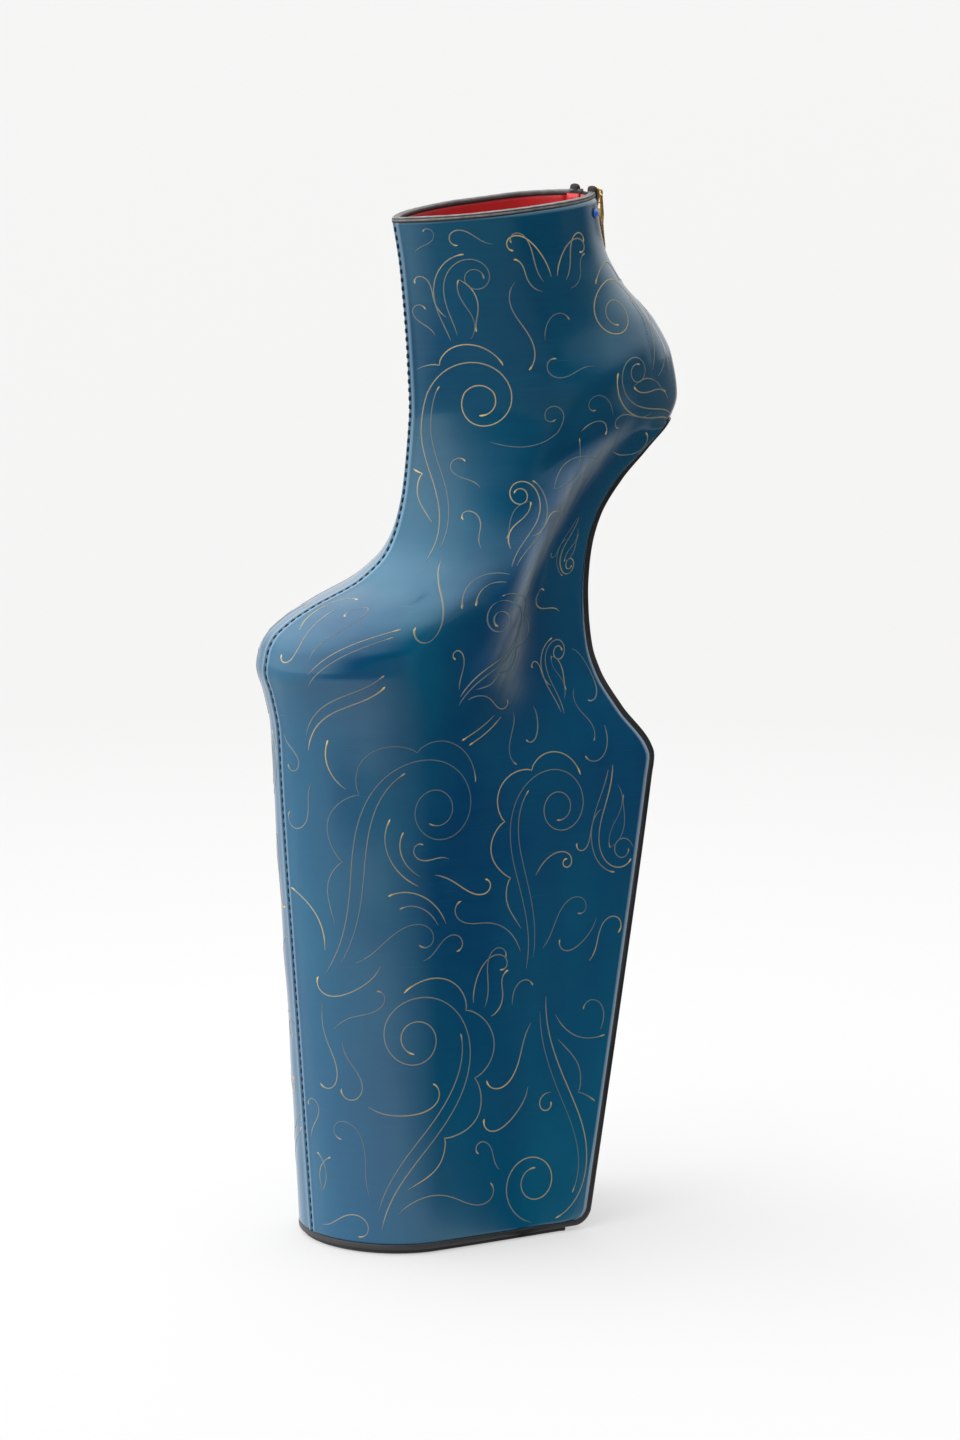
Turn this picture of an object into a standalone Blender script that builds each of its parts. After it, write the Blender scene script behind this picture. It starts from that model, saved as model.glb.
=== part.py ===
# Heel-less platform ankle boot, right foot: toe towards -X, heel towards +X, +Z up, floor at z = 0.
# Sizes are in millimetres and become metres where a mesh is made.
import math

import bmesh
import bpy
import numpy as np
from mathutils import Matrix, Vector

MM = 0.001
MERGE_DISTANCE = 0.02

# Clearance between pieces that meet
GAP = 0.3

# Sole layers, from the floor up
OUTSOLE_T = 1.8
OUTSOLE_INSET = 1.6
OUTSOLE_BACK_INSET = 7.0
SOLE_T = 2.3
SOLE_END_T = 0.9
SOLE_END_TAPER = 22.0
SOLE_TOP_LEVEL = 356.0
BASE_TOP = OUTSOLE_T + GAP + SOLE_T + GAP
BASE_CORNER_R = 5.0
BASE_CORNER_SHARES = (0.62, 0.3, 0.08, 0.0)
BASE_EDGE = 1.5
SOLE_COLUMNS = 7

# How much the platform draws in behind the heel, where the leather turns under it
CROWN_RELIEF = 0.06
HEEL_RELIEF = 0.25
PLATFORM_COUNT = 15

# Upper
WALL = 2.8
COLLAR_LEVEL = 450.0
RIM_RISE = 8.0
RIM_RISE_START = 370.0
SIDE_COUNT = 20
BACK_COUNT = 4

# Foot ridge along the arch: its width, and its height on the outer side of the foot
RIDGE_WIDTH = 10.0
RIDGE_OUTER_SHARE = 0.6

# Footbed
INSOLE_T = 2.0
INSOLE_CLEAR = 1.5
INSOLE_COLUMNS = 6

# Zip
ZIP_BOTTOM_LEVEL = 374.0
ZIP_SLOT_HALF = 4.6
TAPE_HALF = 7.0
TAPE_SINK = 3.6
TAPE_T = 1.0
CHAIN_HALF = 2.5
CHAIN_PROUD = -1.2
SLIDER_SIZE = (2.2, 7.0, 10.0)
SLIDER_LEVEL = 447.0
SLIDER_EDGE = 0.7
BRIDGE_RADIUS = 0.5
BRIDGE_HEIGHT = 3.0
BRIDGE_ABOVE = 2.4
BRIDGE_BELOW = 3.4
BRIDGE_CORNER = (0.9, 1.1)
BRIDGE_ROOT = 1.2
PULL_HEAD = 0.8
PULL_WIDTH = 6.2
PULL_T = 1.1
PULL_EYE = (3.0, 5.8)
PULL_CLEAR = 1.25
PULL_AXIS_UP = 1.0

# Edge of the pull tab below its head: height from the hinge line, and share of its half width
PULL_EDGE = ((-7.8, 1.0), (-14.0, 0.62), (-23.0, 0.78), (-26.0, 0.45))
PULL_LENGTH = -PULL_EDGE[-1][0]

TAPE_END_SIZE = (2.4, 4.2, 2.2)
TAPE_END_Y = 7.4
TAPE_END_EDGE = 0.8
ZIP_STEPS = 10
ZIP_COLUMNS = 5

# Studs beside the zip
STUD_RADIUS = 2.4
STUD_HEIGHT = 1.6
STUD_LEVEL = 443.0
STUD_STATION = 0.955

# Horizontal sections of the leather, floor to collar. Each row: the level; where the section starts at
# the front seam, is widest and ends at the back (x); half widths at the widest place and at the back
# corner; roundness of the nose (2 round, 1 pointed); fullness of the tail; how far the back bows out;
# where the ridge of the foot lies (x) and how far it stands out.
COLUMNS = ("level", "front", "widest", "back", "half_wide", "half_back", "nose", "tail", "crown",
           "ridge_x", "ridge")
SECTIONS = (
    (0.0, -0.6, 38.0, 112.9, 44.0, 43.0, 2.0, 1.8, 0.0, 40.0, 0.0),
    (100.0, -7.6, 40.0, 133.8, 41.0, 36.0, 2.0, 1.8, 0.0, 50.0, 0.0),
    (200.0, -14.6, 39.0, 152.2, 39.5, 31.5, 2.0, 1.8, 0.0, 60.0, 0.0),
    (209.0, -15.1, 39.0, 153.7, 39.5, 31.0, 2.0, 1.8, 0.0, 60.0, 0.0),
    (213.0, -15.3, 39.0, 152.4, 39.5, 30.5, 2.0, 1.8, 0.0, 60.0, 0.0),
    (230.0, -16.2, 39.0, 139.8, 40.3, 27.0, 2.0, 1.8, 0.0, 60.0, 0.6),
    (247.0, -19.6, 36.0, 131.0, 42.3, 22.0, 2.0, 1.8, 0.0, 64.0, 2.0),
    (257.0, -22.5, 32.0, 128.6, 43.0, 20.0, 2.0, 1.8, 0.3, 68.5, 3.0),
    (265.0, -21.3, 32.0, 128.0, 43.0, 19.0, 1.85, 1.9, 0.5, 73.5, 3.6),
    (271.0, -18.3, 36.0, 127.9, 42.6, 18.4, 1.7, 2.0, 0.7, 76.5, 4.0),
    (277.0, -10.8, 42.0, 128.0, 42.0, 18.0, 1.55, 2.1, 0.9, 78.5, 4.2),
    (283.0, 0.6, 52.0, 128.3, 41.0, 17.6, 1.45, 2.2, 1.1, 80.5, 4.3),
    (293.0, 24.0, 68.0, 129.4, 38.8, 17.2, 1.38, 2.3, 1.4, 84.5, 4.3),
    (304.0, 37.0, 80.0, 131.6, 36.6, 17.0, 1.33, 2.4, 1.8, 90.0, 4.2),
    (317.0, 43.0, 88.0, 136.8, 34.4, 17.0, 1.3, 2.6, 2.5, 98.5, 3.8),
    (332.0, 46.4, 95.0, 149.3, 32.6, 16.6, 1.28, 2.9, 4.0, 111.5, 3.0),
    (345.0, 47.8, 103.0, 166.4, 31.2, 16.0, 1.22, 3.3, 6.0, 128.5, 1.6),
    (356.0, 48.7, 110.0, 179.8, 30.4, 15.4, 1.18, 3.6, 7.6, 143.5, 0.4),
    (366.0, 49.3, 114.0, 184.0, 30.0, 15.0, 1.15, 3.7, 8.5, 150.0, 0.0),
    (383.0, 48.6, 112.0, 181.0, 29.6, 14.6, 1.12, 3.7, 8.2, 150.0, 0.0),
    (399.0, 47.6, 106.0, 171.6, 29.0, 14.0, 1.12, 3.7, 7.4, 145.0, 0.0),
    (415.0, 46.2, 99.0, 154.8, 28.0, 13.0, 1.15, 3.7, 6.0, 130.0, 0.0),
    (430.0, 44.6, 95.0, 145.2, 27.2, 12.4, 1.2, 3.7, 5.2, 120.0, 0.0),
    (450.0, 41.2, 92.0, 140.8, 26.8, 12.0, 1.3, 3.7, 5.0, 118.0, 0.0),
)

# Rows of the upper's mesh: from a level, to a level, in so many steps
ROW_RUNS = ((9.6, 200.0, 5), (200.0, 218.0, 5), (218.0, 257.0, 6), (257.0, 293.0, 8),
            (293.0, 304.0, 2), (304.0, 356.0, 5), (356.0, 373.4, 2), (374.0, 450.0, 8))

# Footbed seen from the side: along x, and its height
FOOTBED = ((-11.0, 221.0), (30.0, 221.5), (60.0, 227.0), (84.0, 248.0), (101.0, 278.0),
           (113.0, 304.0), (128.0, 326.0), (144.0, 341.0), (158.0, 349.0))
FOOTBED_STEPS = 20
FOOTBED_TOE_CROWDING = 1.4
FOOT_SPACE_TOP = 480.0
FOOT_SPACE_HALF = 70.0

TABLE = {name: np.array([row[k] for row in SECTIONS]) for k, name in enumerate(COLUMNS)}
ORIGIN_X = (TABLE["front"].min() + TABLE["back"].max()) / 2


def monotone(at, knots, values):
    """Smooth curve through the knots that never overshoots them."""
    gaps = np.diff(knots)
    rates = np.diff(values) / gaps
    slopes = np.zeros(len(values))
    slopes[0] = rates[0]
    slopes[-1] = rates[-1]
    before = 2 * gaps[1:] + gaps[:-1]
    after = gaps[1:] + 2 * gaps[:-1]
    for k in range(1, len(values) - 1):
        if rates[k - 1] * rates[k] > 0:
            weight = before[k - 1] / rates[k - 1] + after[k - 1] / rates[k]
            slopes[k] = (before[k - 1] + after[k - 1]) / weight
    k = np.clip(np.searchsorted(knots, at) - 1, 0, len(gaps) - 1)
    t = (at - knots[k]) / gaps[k]
    rise = values[k + 1] - values[k]
    bend = slopes[k] * gaps[k] - rise
    bend_end = rise - slopes[k + 1] * gaps[k]
    return values[k] + rise * t + t * (1 - t) * (bend * (1 - t) + bend_end * t)


def section(level):
    """All columns of the section table at one level, with the base's back corner rounded off."""
    row = {name: float(monotone(level, TABLE["level"], TABLE[name])) for name in COLUMNS[1:]}
    drop = min(max(BASE_CORNER_R - (level - BASE_TOP), 0.0), BASE_CORNER_R)
    row["back"] -= BASE_CORNER_R - math.sqrt(BASE_CORNER_R ** 2 - drop ** 2)
    row["corner"] = row["back"] - row["crown"]
    return row


def height(level, x, row):
    """Height of a point of a section: sections tip up towards the back near the collar."""
    share = min(max((level - RIM_RISE_START) / (COLLAR_LEVEL - RIM_RISE_START), 0.0), 1.0)
    along = (x - row["front"]) / (row["back"] - row["front"])
    return level + RIM_RISE * share * share * along


def spread(points, count):
    """Points at even distances along a polyline."""
    run = np.concatenate([[0.0], np.cumsum(np.hypot(*np.diff(points, axis=0).T))])
    at = np.linspace(0.0, run[-1], count)
    return np.stack([np.interp(at, run, points[:, 0]), np.interp(at, run, points[:, 1])], axis=1)


def side_curve(level, side, steps=60):
    """Half outline of a section from the front seam to the back corner, as x and distance from centre."""
    row = section(level)
    angle = np.linspace(0.0, math.pi / 2, steps)
    nose_x = row["front"] + (row["widest"] - row["front"]) * (1 - np.cos(angle))
    nose_y = row["half_wide"] * np.sin(angle) ** (2 / row["nose"])
    share = np.sin(angle[1:])
    tail_x = row["widest"] + (row["corner"] - row["widest"]) * share
    tail_y = row["half_back"] + (row["half_wide"] - row["half_back"]) * (1 - share ** row["tail"])
    x = np.concatenate([nose_x, tail_x])
    y = np.concatenate([nose_y, tail_y])
    along = (x - row["front"]) / (row["corner"] - row["front"])
    lift = row["ridge"] * (1.0 if side < 0 else RIDGE_OUTER_SHARE)
    y = y + lift * np.exp(-((x - row["ridge_x"]) / RIDGE_WIDTH) ** 2) * np.sin(math.pi * along)
    return np.stack([x, y], axis=1)


def back_curve(row, y):
    """The back of a section, bowed out by its crown."""
    return row["corner"] + row["crown"] * (1 - (y / row["half_back"]) ** 2)


def inset_curve(level, side, inset, count):
    """Half outline of a section moved inwards, its ends kept on the centre plane and on the back."""
    row = section(level)
    curve = spread(side_curve(level, side), count)
    run = np.gradient(curve, axis=0)
    run[0] = (0.0, 1.0)
    run /= np.linalg.norm(run, axis=1)[:, None]
    inner = curve + inset * np.stack([run[:, 1], -run[:, 0]], axis=1)
    inner[0, 1] = 0.0
    behind = back_curve(row, inner[-1, 1]) - CROWN_RELIEF * row["crown"]
    return np.concatenate([inner, [(behind, inner[-1, 1])]])


def rows_of(runs):
    """Levels of a list of runs, each a start, an end and a number of steps."""
    levels = []
    for start, end, steps in runs:
        levels += [value for value in np.linspace(start, end, steps + 1) if value not in levels]
    return levels


def clear_scene():
    """Remove what the file starts with."""
    for item in list(bpy.data.objects):
        bpy.data.objects.remove(item, do_unlink=True)


def new_collection(name):
    """A collection linked to the scene."""
    group = bpy.data.collections.new(name)
    bpy.context.scene.collection.children.link(group)
    return group


def material(name, colour, roughness, metallic=0.0):
    """Principled material of one colour."""
    made = bpy.data.materials.new(name)
    made.use_nodes = True
    shader = made.node_tree.nodes["Principled BSDF"]
    shader.inputs["Base Color"].default_value = (*colour, 1.0)
    shader.inputs["Roughness"].default_value = roughness
    shader.inputs["Metallic"].default_value = metallic
    return made


def place(x, y, z):
    """A point of the shoe in metres, with the origin under its middle."""
    return ((x - ORIGIN_X) * MM, y * MM, z * MM)


def mesh_object(name, points, faces, group, finish, smooth=40.0):
    """Object from points in millimetres and faces, doubles merged and sides shaded smooth."""
    mesh = bpy.data.meshes.new(name)
    mesh.from_pydata([place(*point) for point in points], [], faces)
    shape = bmesh.new()
    shape.from_mesh(mesh)
    bmesh.ops.remove_doubles(shape, verts=shape.verts, dist=MERGE_DISTANCE * MM)
    shape.to_mesh(mesh)
    shape.free()
    mesh.shade_smooth()
    mesh.set_sharp_from_angle(angle=math.radians(smooth))
    made = bpy.data.objects.new(name, mesh)
    group.objects.link(made)
    if finish:
        mesh.materials.append(finish)
    return made


def grid_faces(rows, columns, start=0, flip=False):
    """Quads of a grid of points numbered row by row."""
    faces = []
    for i in range(rows - 1):
        for j in range(columns - 1):
            a = start + i * columns + j
            quad = (a, a + columns, a + columns + 1, a + 1)
            faces.append(quad[::-1] if flip else quad)
    return faces


def slab(name, inner, outer, group, finish):
    """Closed sheet between two grids of points of the same shape."""
    inner = np.asarray(inner)
    outer = np.asarray(outer)
    rows, columns = inner.shape[:2]
    points = np.concatenate([inner.reshape(-1, 3), outer.reshape(-1, 3)])
    step = rows * columns
    faces = grid_faces(rows, columns, 0, True) + grid_faces(rows, columns, step)
    rim = list(range(columns))
    rim += [i * columns + columns - 1 for i in range(1, rows)]
    rim += [(rows - 1) * columns + j for j in range(columns - 2, -1, -1)]
    rim += [i * columns for i in range(rows - 2, 0, -1)]
    for a, b in zip(rim, rim[1:] + rim[:1]):
        faces.append((a, b, b + step, a + step))
    made = mesh_object(name, points, faces, group, finish)
    outward(made)
    return made


def outward(item):
    """Turn all faces of a closed mesh outwards."""
    shape = bmesh.new()
    shape.from_mesh(item.data)
    bmesh.ops.recalc_face_normals(shape, faces=shape.faces)
    shape.to_mesh(item.data)
    shape.free()


def path_normals(path):
    """Normals of a path in the x-z plane, to the left of its run."""
    run = np.gradient(path, axis=0)
    run /= np.linalg.norm(run, axis=1)[:, None]
    return np.stack([-run[:, 1], run[:, 0]], axis=1)


def make_upper(group, finish):
    """Leather shell: sections from the near back corner round the front seam to the far back corner."""
    levels = [BASE_TOP, BASE_TOP + BASE_EDGE] + rows_of(ROW_RUNS)
    columns = 2 * SIDE_COUNT - 1
    points = []
    for level in levels:
        row = section(level)
        near = spread(side_curve(level, -1), SIDE_COUNT)
        far = spread(side_curve(level, 1), SIDE_COUNT)
        ring = [(x, -y) for x, y in near[::-1]] + [(x, y) for x, y in far[1:]]
        points += [(x, y, height(level, x, row)) for x, y in ring]
    faces = grid_faces(len(levels), columns)
    heel_levels = [level for level in levels if level >= SOLE_TOP_LEVEL]
    for side in (-1, 1):
        start = len(points)
        for level in heel_levels:
            row = section(level)
            slot = ZIP_SLOT_HALF if level >= ZIP_BOTTOM_LEVEL else 0.0
            for y in np.linspace(row["half_back"], slot, BACK_COUNT):
                x = back_curve(row, y)
                points.append((x, side * y, height(level, x, row)))
        faces += grid_faces(len(heel_levels), BACK_COUNT, start, side < 0)
    upper = mesh_object("upper", points, faces, group, finish)
    wall = upper.modifiers.new("wall", "SOLIDIFY")
    wall.thickness = WALL * MM
    wall.offset = -1.0
    wall.use_even_offset = True
    return upper


def footbed_path(drop):
    """Footbed line from toe to heel, lowered along its normal."""
    knots = np.array(FOOTBED)
    run = np.concatenate([[0.0], np.cumsum(np.hypot(*np.diff(knots, axis=0).T))])
    at = run[-1] * np.linspace(0.0, 1.0, FOOTBED_STEPS) ** FOOTBED_TOE_CROWDING
    path = np.stack([monotone(at, run, knots[:, 0]), monotone(at, run, knots[:, 1])], axis=1)
    return path - path_normals(path) * drop


def make_platform(group, cutters, finish):
    """Block that fills the leather below the footbed, with the arch and heel seat behind the foot."""
    levels = [BASE_TOP, BASE_TOP + BASE_EDGE] + [v for v in rows_of(ROW_RUNS) if v <= SOLE_TOP_LEVEL]
    points = []
    for level in levels:
        row = section(level)
        inset = WALL + 2 * GAP + HEEL_RELIEF * row["crown"]
        sides = [inset_curve(level, side, inset, PLATFORM_COUNT) for side in (-1, 1)]
        ring = [(x, -y) for x, y in sides[0][::-1]] + [(x, y) for x, y in sides[1][1:]]
        ring.append((row["back"] - CROWN_RELIEF * row["crown"], 0.0))
        points += [(x, y, level) for x, y in ring]
    columns = len(points) // len(levels)
    faces = []
    for i in range(len(levels) - 1):
        for j in range(columns):
            k = (j + 1) % columns
            faces.append((i * columns + j, (i + 1) * columns + j, (i + 1) * columns + k, i * columns + k))
    faces.append(tuple(range(columns)))
    faces.append(tuple(reversed(range((len(levels) - 1) * columns, len(levels) * columns))))
    block = mesh_object("platform", points, faces, group, finish)
    outward(block)

    line = footbed_path(INSOLE_T + GAP)
    toe = (TABLE["front"].min() - 2 * WALL, line[0, 1])
    heel = (TABLE["back"].max() + 2 * WALL, line[-1, 1])
    outline = [toe] + [tuple(point) for point in line] + [heel]
    outline += [(heel[0], FOOT_SPACE_TOP), (toe[0], FOOT_SPACE_TOP)]
    sides = [[(x, y, z) for x, z in outline] for y in (-FOOT_SPACE_HALF, FOOT_SPACE_HALF)]
    total = len(outline)
    faces = [tuple(range(total)), tuple(reversed(range(total, 2 * total)))]
    faces += [(j, j + total, (j + 1) % total + total, (j + 1) % total) for j in range(total)]
    foot_space = mesh_object("foot_space", sides[0] + sides[1], faces, cutters, None)
    outward(foot_space)
    foot_space.hide_render = True
    foot_space.display_type = "WIRE"
    cut = block.modifiers.new("foot_space", "BOOLEAN")
    cut.operation = "DIFFERENCE"
    cut.solver = "EXACT"
    cut.object = foot_space
    return block


def make_insole(group, finish):
    """Thin footbed sheet whose edges stay clear of the leather's inside."""
    across = np.linspace(-1.0, 1.0, INSOLE_COLUMNS)
    grids = ([], [])
    for below, above in zip(footbed_path(INSOLE_T), footbed_path(0.0)):
        halves = []
        for x, z in (below, above):
            for side in (-1, 1):
                inner = inset_curve(z, side, WALL + INSOLE_CLEAR, 3 * SIDE_COUNT)
                halves.append(np.interp(x, inner[:, 0], inner[:, 1]))
        half = max(min(halves), 1.0)
        for grid, point in zip(grids, (below, above)):
            grid.append([(point[0], share * half, point[1]) for share in across])
    return slab("insole", grids[0], grids[1], group, finish)


def make_sole(group, finish):
    """Black sheet: under the heel, down the arch and the platform's back, and under the base."""
    runs = [value for value in rows_of(ROW_RUNS) if value < SOLE_TOP_LEVEL - 1.0]
    corner = [BASE_TOP + BASE_CORNER_R * share for share in BASE_CORNER_SHARES]
    levels = [SOLE_TOP_LEVEL - GAP] + runs[::-1] + corner
    across = np.linspace(-1.0, 1.0, SOLE_COLUMNS)
    stations = []
    for level in levels:
        row = section(level)
        half = row["half_back"]
        bow = [back_curve(row, share * half) - row["back"] for share in across]
        worn = min((SOLE_TOP_LEVEL - level) / SOLE_END_TAPER, 1.0)
        stations.append((row["back"], level, half, bow, SOLE_END_T + (SOLE_T - SOLE_END_T) * worn))
    base = spread(side_curve(BASE_TOP, -1), SIDE_COUNT)[::-1]
    for x, half in base[1:]:
        stations.append((x, BASE_TOP, max(half, 1.0), [0.0] * len(across), SOLE_T))
    path = np.array([(station[0], station[1]) for station in stations])
    normals = path_normals(path)
    inner = []
    outer = []
    for (x, z, half, bow, thick), normal in zip(stations, normals):
        for grid, away in ((inner, GAP), (outer, GAP + thick)):
            grid.append([(x + bend + normal[0] * away, share * half, z + normal[1] * away)
                         for share, bend in zip(across, bow)])
    return slab("sole", inner, outer, group, finish)


def make_outsole(group, finish):
    """Tread plate under the base, a little inside its outline."""
    outline = inset_curve(BASE_TOP, -1, OUTSOLE_INSET, SIDE_COUNT)
    outline[-1, 0] -= OUTSOLE_BACK_INSET
    ring = [(x, y) for x, y in outline] + [(x, -y) for x, y in outline[:0:-1]]
    curve = bpy.data.curves.new("outsole", "CURVE")
    curve.dimensions = "2D"
    curve.fill_mode = "BOTH"
    curve.extrude = OUTSOLE_T * MM / 2
    line = curve.splines.new("POLY")
    line.points.add(len(ring) - 1)
    for point, (x, y) in zip(line.points, ring):
        point.co = (*place(x, y, 0.0), 1.0)
    line.use_cyclic_u = True
    curve.materials.append(finish)
    plate = bpy.data.objects.new("outsole", curve)
    plate.location.z = OUTSOLE_T * MM / 2
    group.objects.link(plate)
    return plate


def zip_band(name, half, away_in, away_out, group, finish):
    """Band down the back of the ankle, between two distances from the leather's outside."""
    levels = np.linspace(ZIP_BOTTOM_LEVEL + 1.0, COLLAR_LEVEL, ZIP_STEPS)
    rows = [section(level) for level in levels]
    path = np.array([(row["back"], height(level, row["back"], row)) for level, row in zip(levels, rows)])
    normals = -path_normals(path)
    grids = ([], [])
    for row, point, normal in zip(rows, path, normals):
        for grid, away in zip(grids, (away_in, away_out)):
            grid.append([(back_curve(row, y) + normal[0] * away, y, point[1] + normal[1] * away)
                         for y in np.linspace(-half, half, ZIP_COLUMNS)])
    return slab(name, grids[0], grids[1], group, finish)


def block_object(name, centre, size, bevel, group, finish):
    """Box with rounded edges."""
    bpy.ops.mesh.primitive_cube_add(size=1.0, location=place(*centre))
    box = bpy.context.object
    box.name = name
    box.data.name = name
    for held in box.users_collection:
        held.objects.unlink(box)
    group.objects.link(box)
    box.data.transform(Matrix.Diagonal((*[value * MM for value in size], 1.0)))
    rounding = box.modifiers.new("rounding", "BEVEL")
    rounding.width = bevel * MM
    rounding.segments = 2
    box.data.materials.append(finish)
    return box


def wire_mesh(name, points, radius, group):
    """Round wire along a few points, as a mesh with welded ends."""
    curve = bpy.data.curves.new(name, "CURVE")
    curve.dimensions = "3D"
    curve.bevel_depth = radius * MM
    curve.bevel_resolution = 2
    curve.use_fill_caps = True
    line = curve.splines.new("POLY")
    line.points.add(len(points) - 1)
    for point, place_in in zip(line.points, points):
        point.co = (*place(*place_in), 1.0)
    wire = bpy.data.objects.new(name + "_wire", curve)
    group.objects.link(wire)
    mesh = bpy.data.meshes.new_from_object(wire.evaluated_get(bpy.context.evaluated_depsgraph_get()))
    bpy.data.objects.remove(wire, do_unlink=True)
    shape = bmesh.new()
    shape.from_mesh(mesh)
    bmesh.ops.remove_doubles(shape, verts=shape.verts, dist=MERGE_DISTANCE * MM)
    bmesh.ops.recalc_face_normals(shape, faces=shape.faces)
    shape.to_mesh(mesh)
    shape.free()
    made = bpy.data.objects.new(name, mesh)
    group.objects.link(made)
    return made


def slider_seat():
    """Where the slider's inner face sits and the height of its middle."""
    row = section(SLIDER_LEVEL)
    lowest = section(SLIDER_LEVEL - SLIDER_SIZE[2] / 2)
    return lowest["back"] + CHAIN_PROUD + GAP, height(SLIDER_LEVEL, row["back"], row)


def pull_axis():
    """Hinge of the pull tab: a line along Y just off the slider's outer face."""
    face, middle = slider_seat()
    return face + SLIDER_SIZE[0] + PULL_CLEAR, middle + PULL_AXIS_UP


def make_slider(group, cutters, finish):
    """Slider body with the bridge that holds the pull tab."""
    face, middle = slider_seat()
    axis_z = pull_axis()[1]
    body = block_object("zip_slider", (face + SLIDER_SIZE[0] / 2, 0.0, middle), SLIDER_SIZE, SLIDER_EDGE,
                        group, finish)
    outside = face + SLIDER_SIZE[0]
    top = axis_z + BRIDGE_ABOVE
    foot = axis_z - BRIDGE_BELOW
    root = outside - BRIDGE_ROOT
    crest = outside + BRIDGE_HEIGHT
    turn_x, turn_z = BRIDGE_CORNER
    arch = [(root, 0.0, top), (crest - turn_x, 0.0, top), (crest, 0.0, top - turn_z),
            (crest, 0.0, foot + turn_z), (crest - turn_x, 0.0, foot), (root, 0.0, foot)]
    bridge = wire_mesh("bridge", arch, BRIDGE_RADIUS, cutters)
    bridge.hide_render = True
    bridge.display_type = "WIRE"
    join = body.modifiers.new("bridge", "BOOLEAN")
    join.operation = "UNION"
    join.solver = "EXACT"
    join.object = bridge
    return body


def pull_lean():
    """Angle of the hanging pull tab, whose tip lies on the zip chain."""
    axis_x, axis_z = pull_axis()
    tip = axis_z - PULL_LENGTH
    levels = np.linspace(ZIP_BOTTOM_LEVEL, COLLAR_LEVEL, 40)
    backs = [(height(level, section(level)["back"], section(level)), section(level)["back"])
             for level in levels]
    rest = np.interp(tip, [z for z, _ in backs], [x for _, x in backs]) + CHAIN_PROUD + 2 * GAP
    return math.atan2(rest + PULL_T / 2 - axis_x, PULL_LENGTH)


def make_pull(group, finish):
    """Pull tab: a tapered plate with an eye for the bridge, hung on its hinge line."""
    axis_x, axis_z = pull_axis()
    half = PULL_WIDTH / 2
    edge = [(half, PULL_HEAD)] + [(half * share, z) for z, share in PULL_EDGE]
    outline = edge + [(-y, z) for y, z in edge[::-1]]
    eye_half = PULL_EYE[0] / 2
    eye = [(-eye_half, -PULL_T / 2), (eye_half, -PULL_T / 2), (eye_half, -PULL_EYE[1]),
           (-eye_half, -PULL_EYE[1])]
    curve = bpy.data.curves.new("zip_pull", "CURVE")
    curve.dimensions = "2D"
    curve.fill_mode = "BOTH"
    curve.extrude = PULL_T * MM / 2
    for ring in (outline, eye):
        line = curve.splines.new("POLY")
        line.points.add(len(ring) - 1)
        for point, (y, z) in zip(line.points, ring):
            point.co = (y * MM, z * MM, 0.0, 1.0)
        line.use_cyclic_u = True
    curve.materials.append(finish)
    hinge = bpy.data.objects.new("pull_hinge", None)
    hinge.location = place(axis_x, 0.0, axis_z)
    group.objects.link(hinge)
    tab = bpy.data.objects.new("zip_pull", curve)
    tab.parent = hinge
    across = Vector((0.0, 1.0, 0.0))
    lean = Matrix.Rotation(-pull_lean(), 3, across)
    upright = Matrix((across, (0.0, 0.0, 1.0), (1.0, 0.0, 0.0))).transposed()
    tab.rotation_euler = (lean @ upright).to_euler()
    group.objects.link(tab)
    return tab


def make_tape_ends(group, finish):
    """Folded ends of the zip tape, standing on the rim either side of the zip."""
    row = section(COLLAR_LEVEL)
    x = back_curve(row, TAPE_END_Y) - WALL / 2
    z = height(COLLAR_LEVEL, x + WALL, row) + GAP + TAPE_END_SIZE[2] / 2
    for name, side in (("zip_end_near", -1), ("zip_end_far", 1)):
        block_object(name, (x, side * TAPE_END_Y, z), TAPE_END_SIZE, TAPE_END_EDGE, group, finish)


def make_studs(group, finish):
    """Round-headed studs through the wall, one on each side of the zip."""
    row = section(STUD_LEVEL)
    for name, side in (("stud_near", -1), ("stud_far", 1)):
        curve = side_curve(STUD_LEVEL, side)
        x = row["front"] + STUD_STATION * (row["corner"] - row["front"])
        y = float(np.interp(x, curve[:, 0], curve[:, 1]))
        ahead = float(np.interp(x + 1.0, curve[:, 0], curve[:, 1]))
        normal = Vector((y - ahead, 1.0, 0.0)).normalized()
        away = GAP + STUD_HEIGHT / 2
        centre = (x + normal.x * away, side * (y + normal.y * away), height(STUD_LEVEL, x, row))
        bpy.ops.mesh.primitive_uv_sphere_add(segments=14, ring_count=7, radius=1.0, location=place(*centre))
        stud = bpy.context.object
        stud.name = name
        stud.data.name = name
        for held in stud.users_collection:
            held.objects.unlink(stud)
        group.objects.link(stud)
        size = (STUD_RADIUS * MM, STUD_RADIUS * MM, STUD_HEIGHT / 2 * MM)
        stud.data.transform(Matrix.Diagonal((*size, 1.0)))
        facing = Vector((normal.x, side * normal.y, 0.0))
        stud.rotation_euler = facing.to_track_quat("Z", "Y").to_euler()
        stud.data.shade_smooth()
        stud.data.materials.append(finish)


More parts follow.
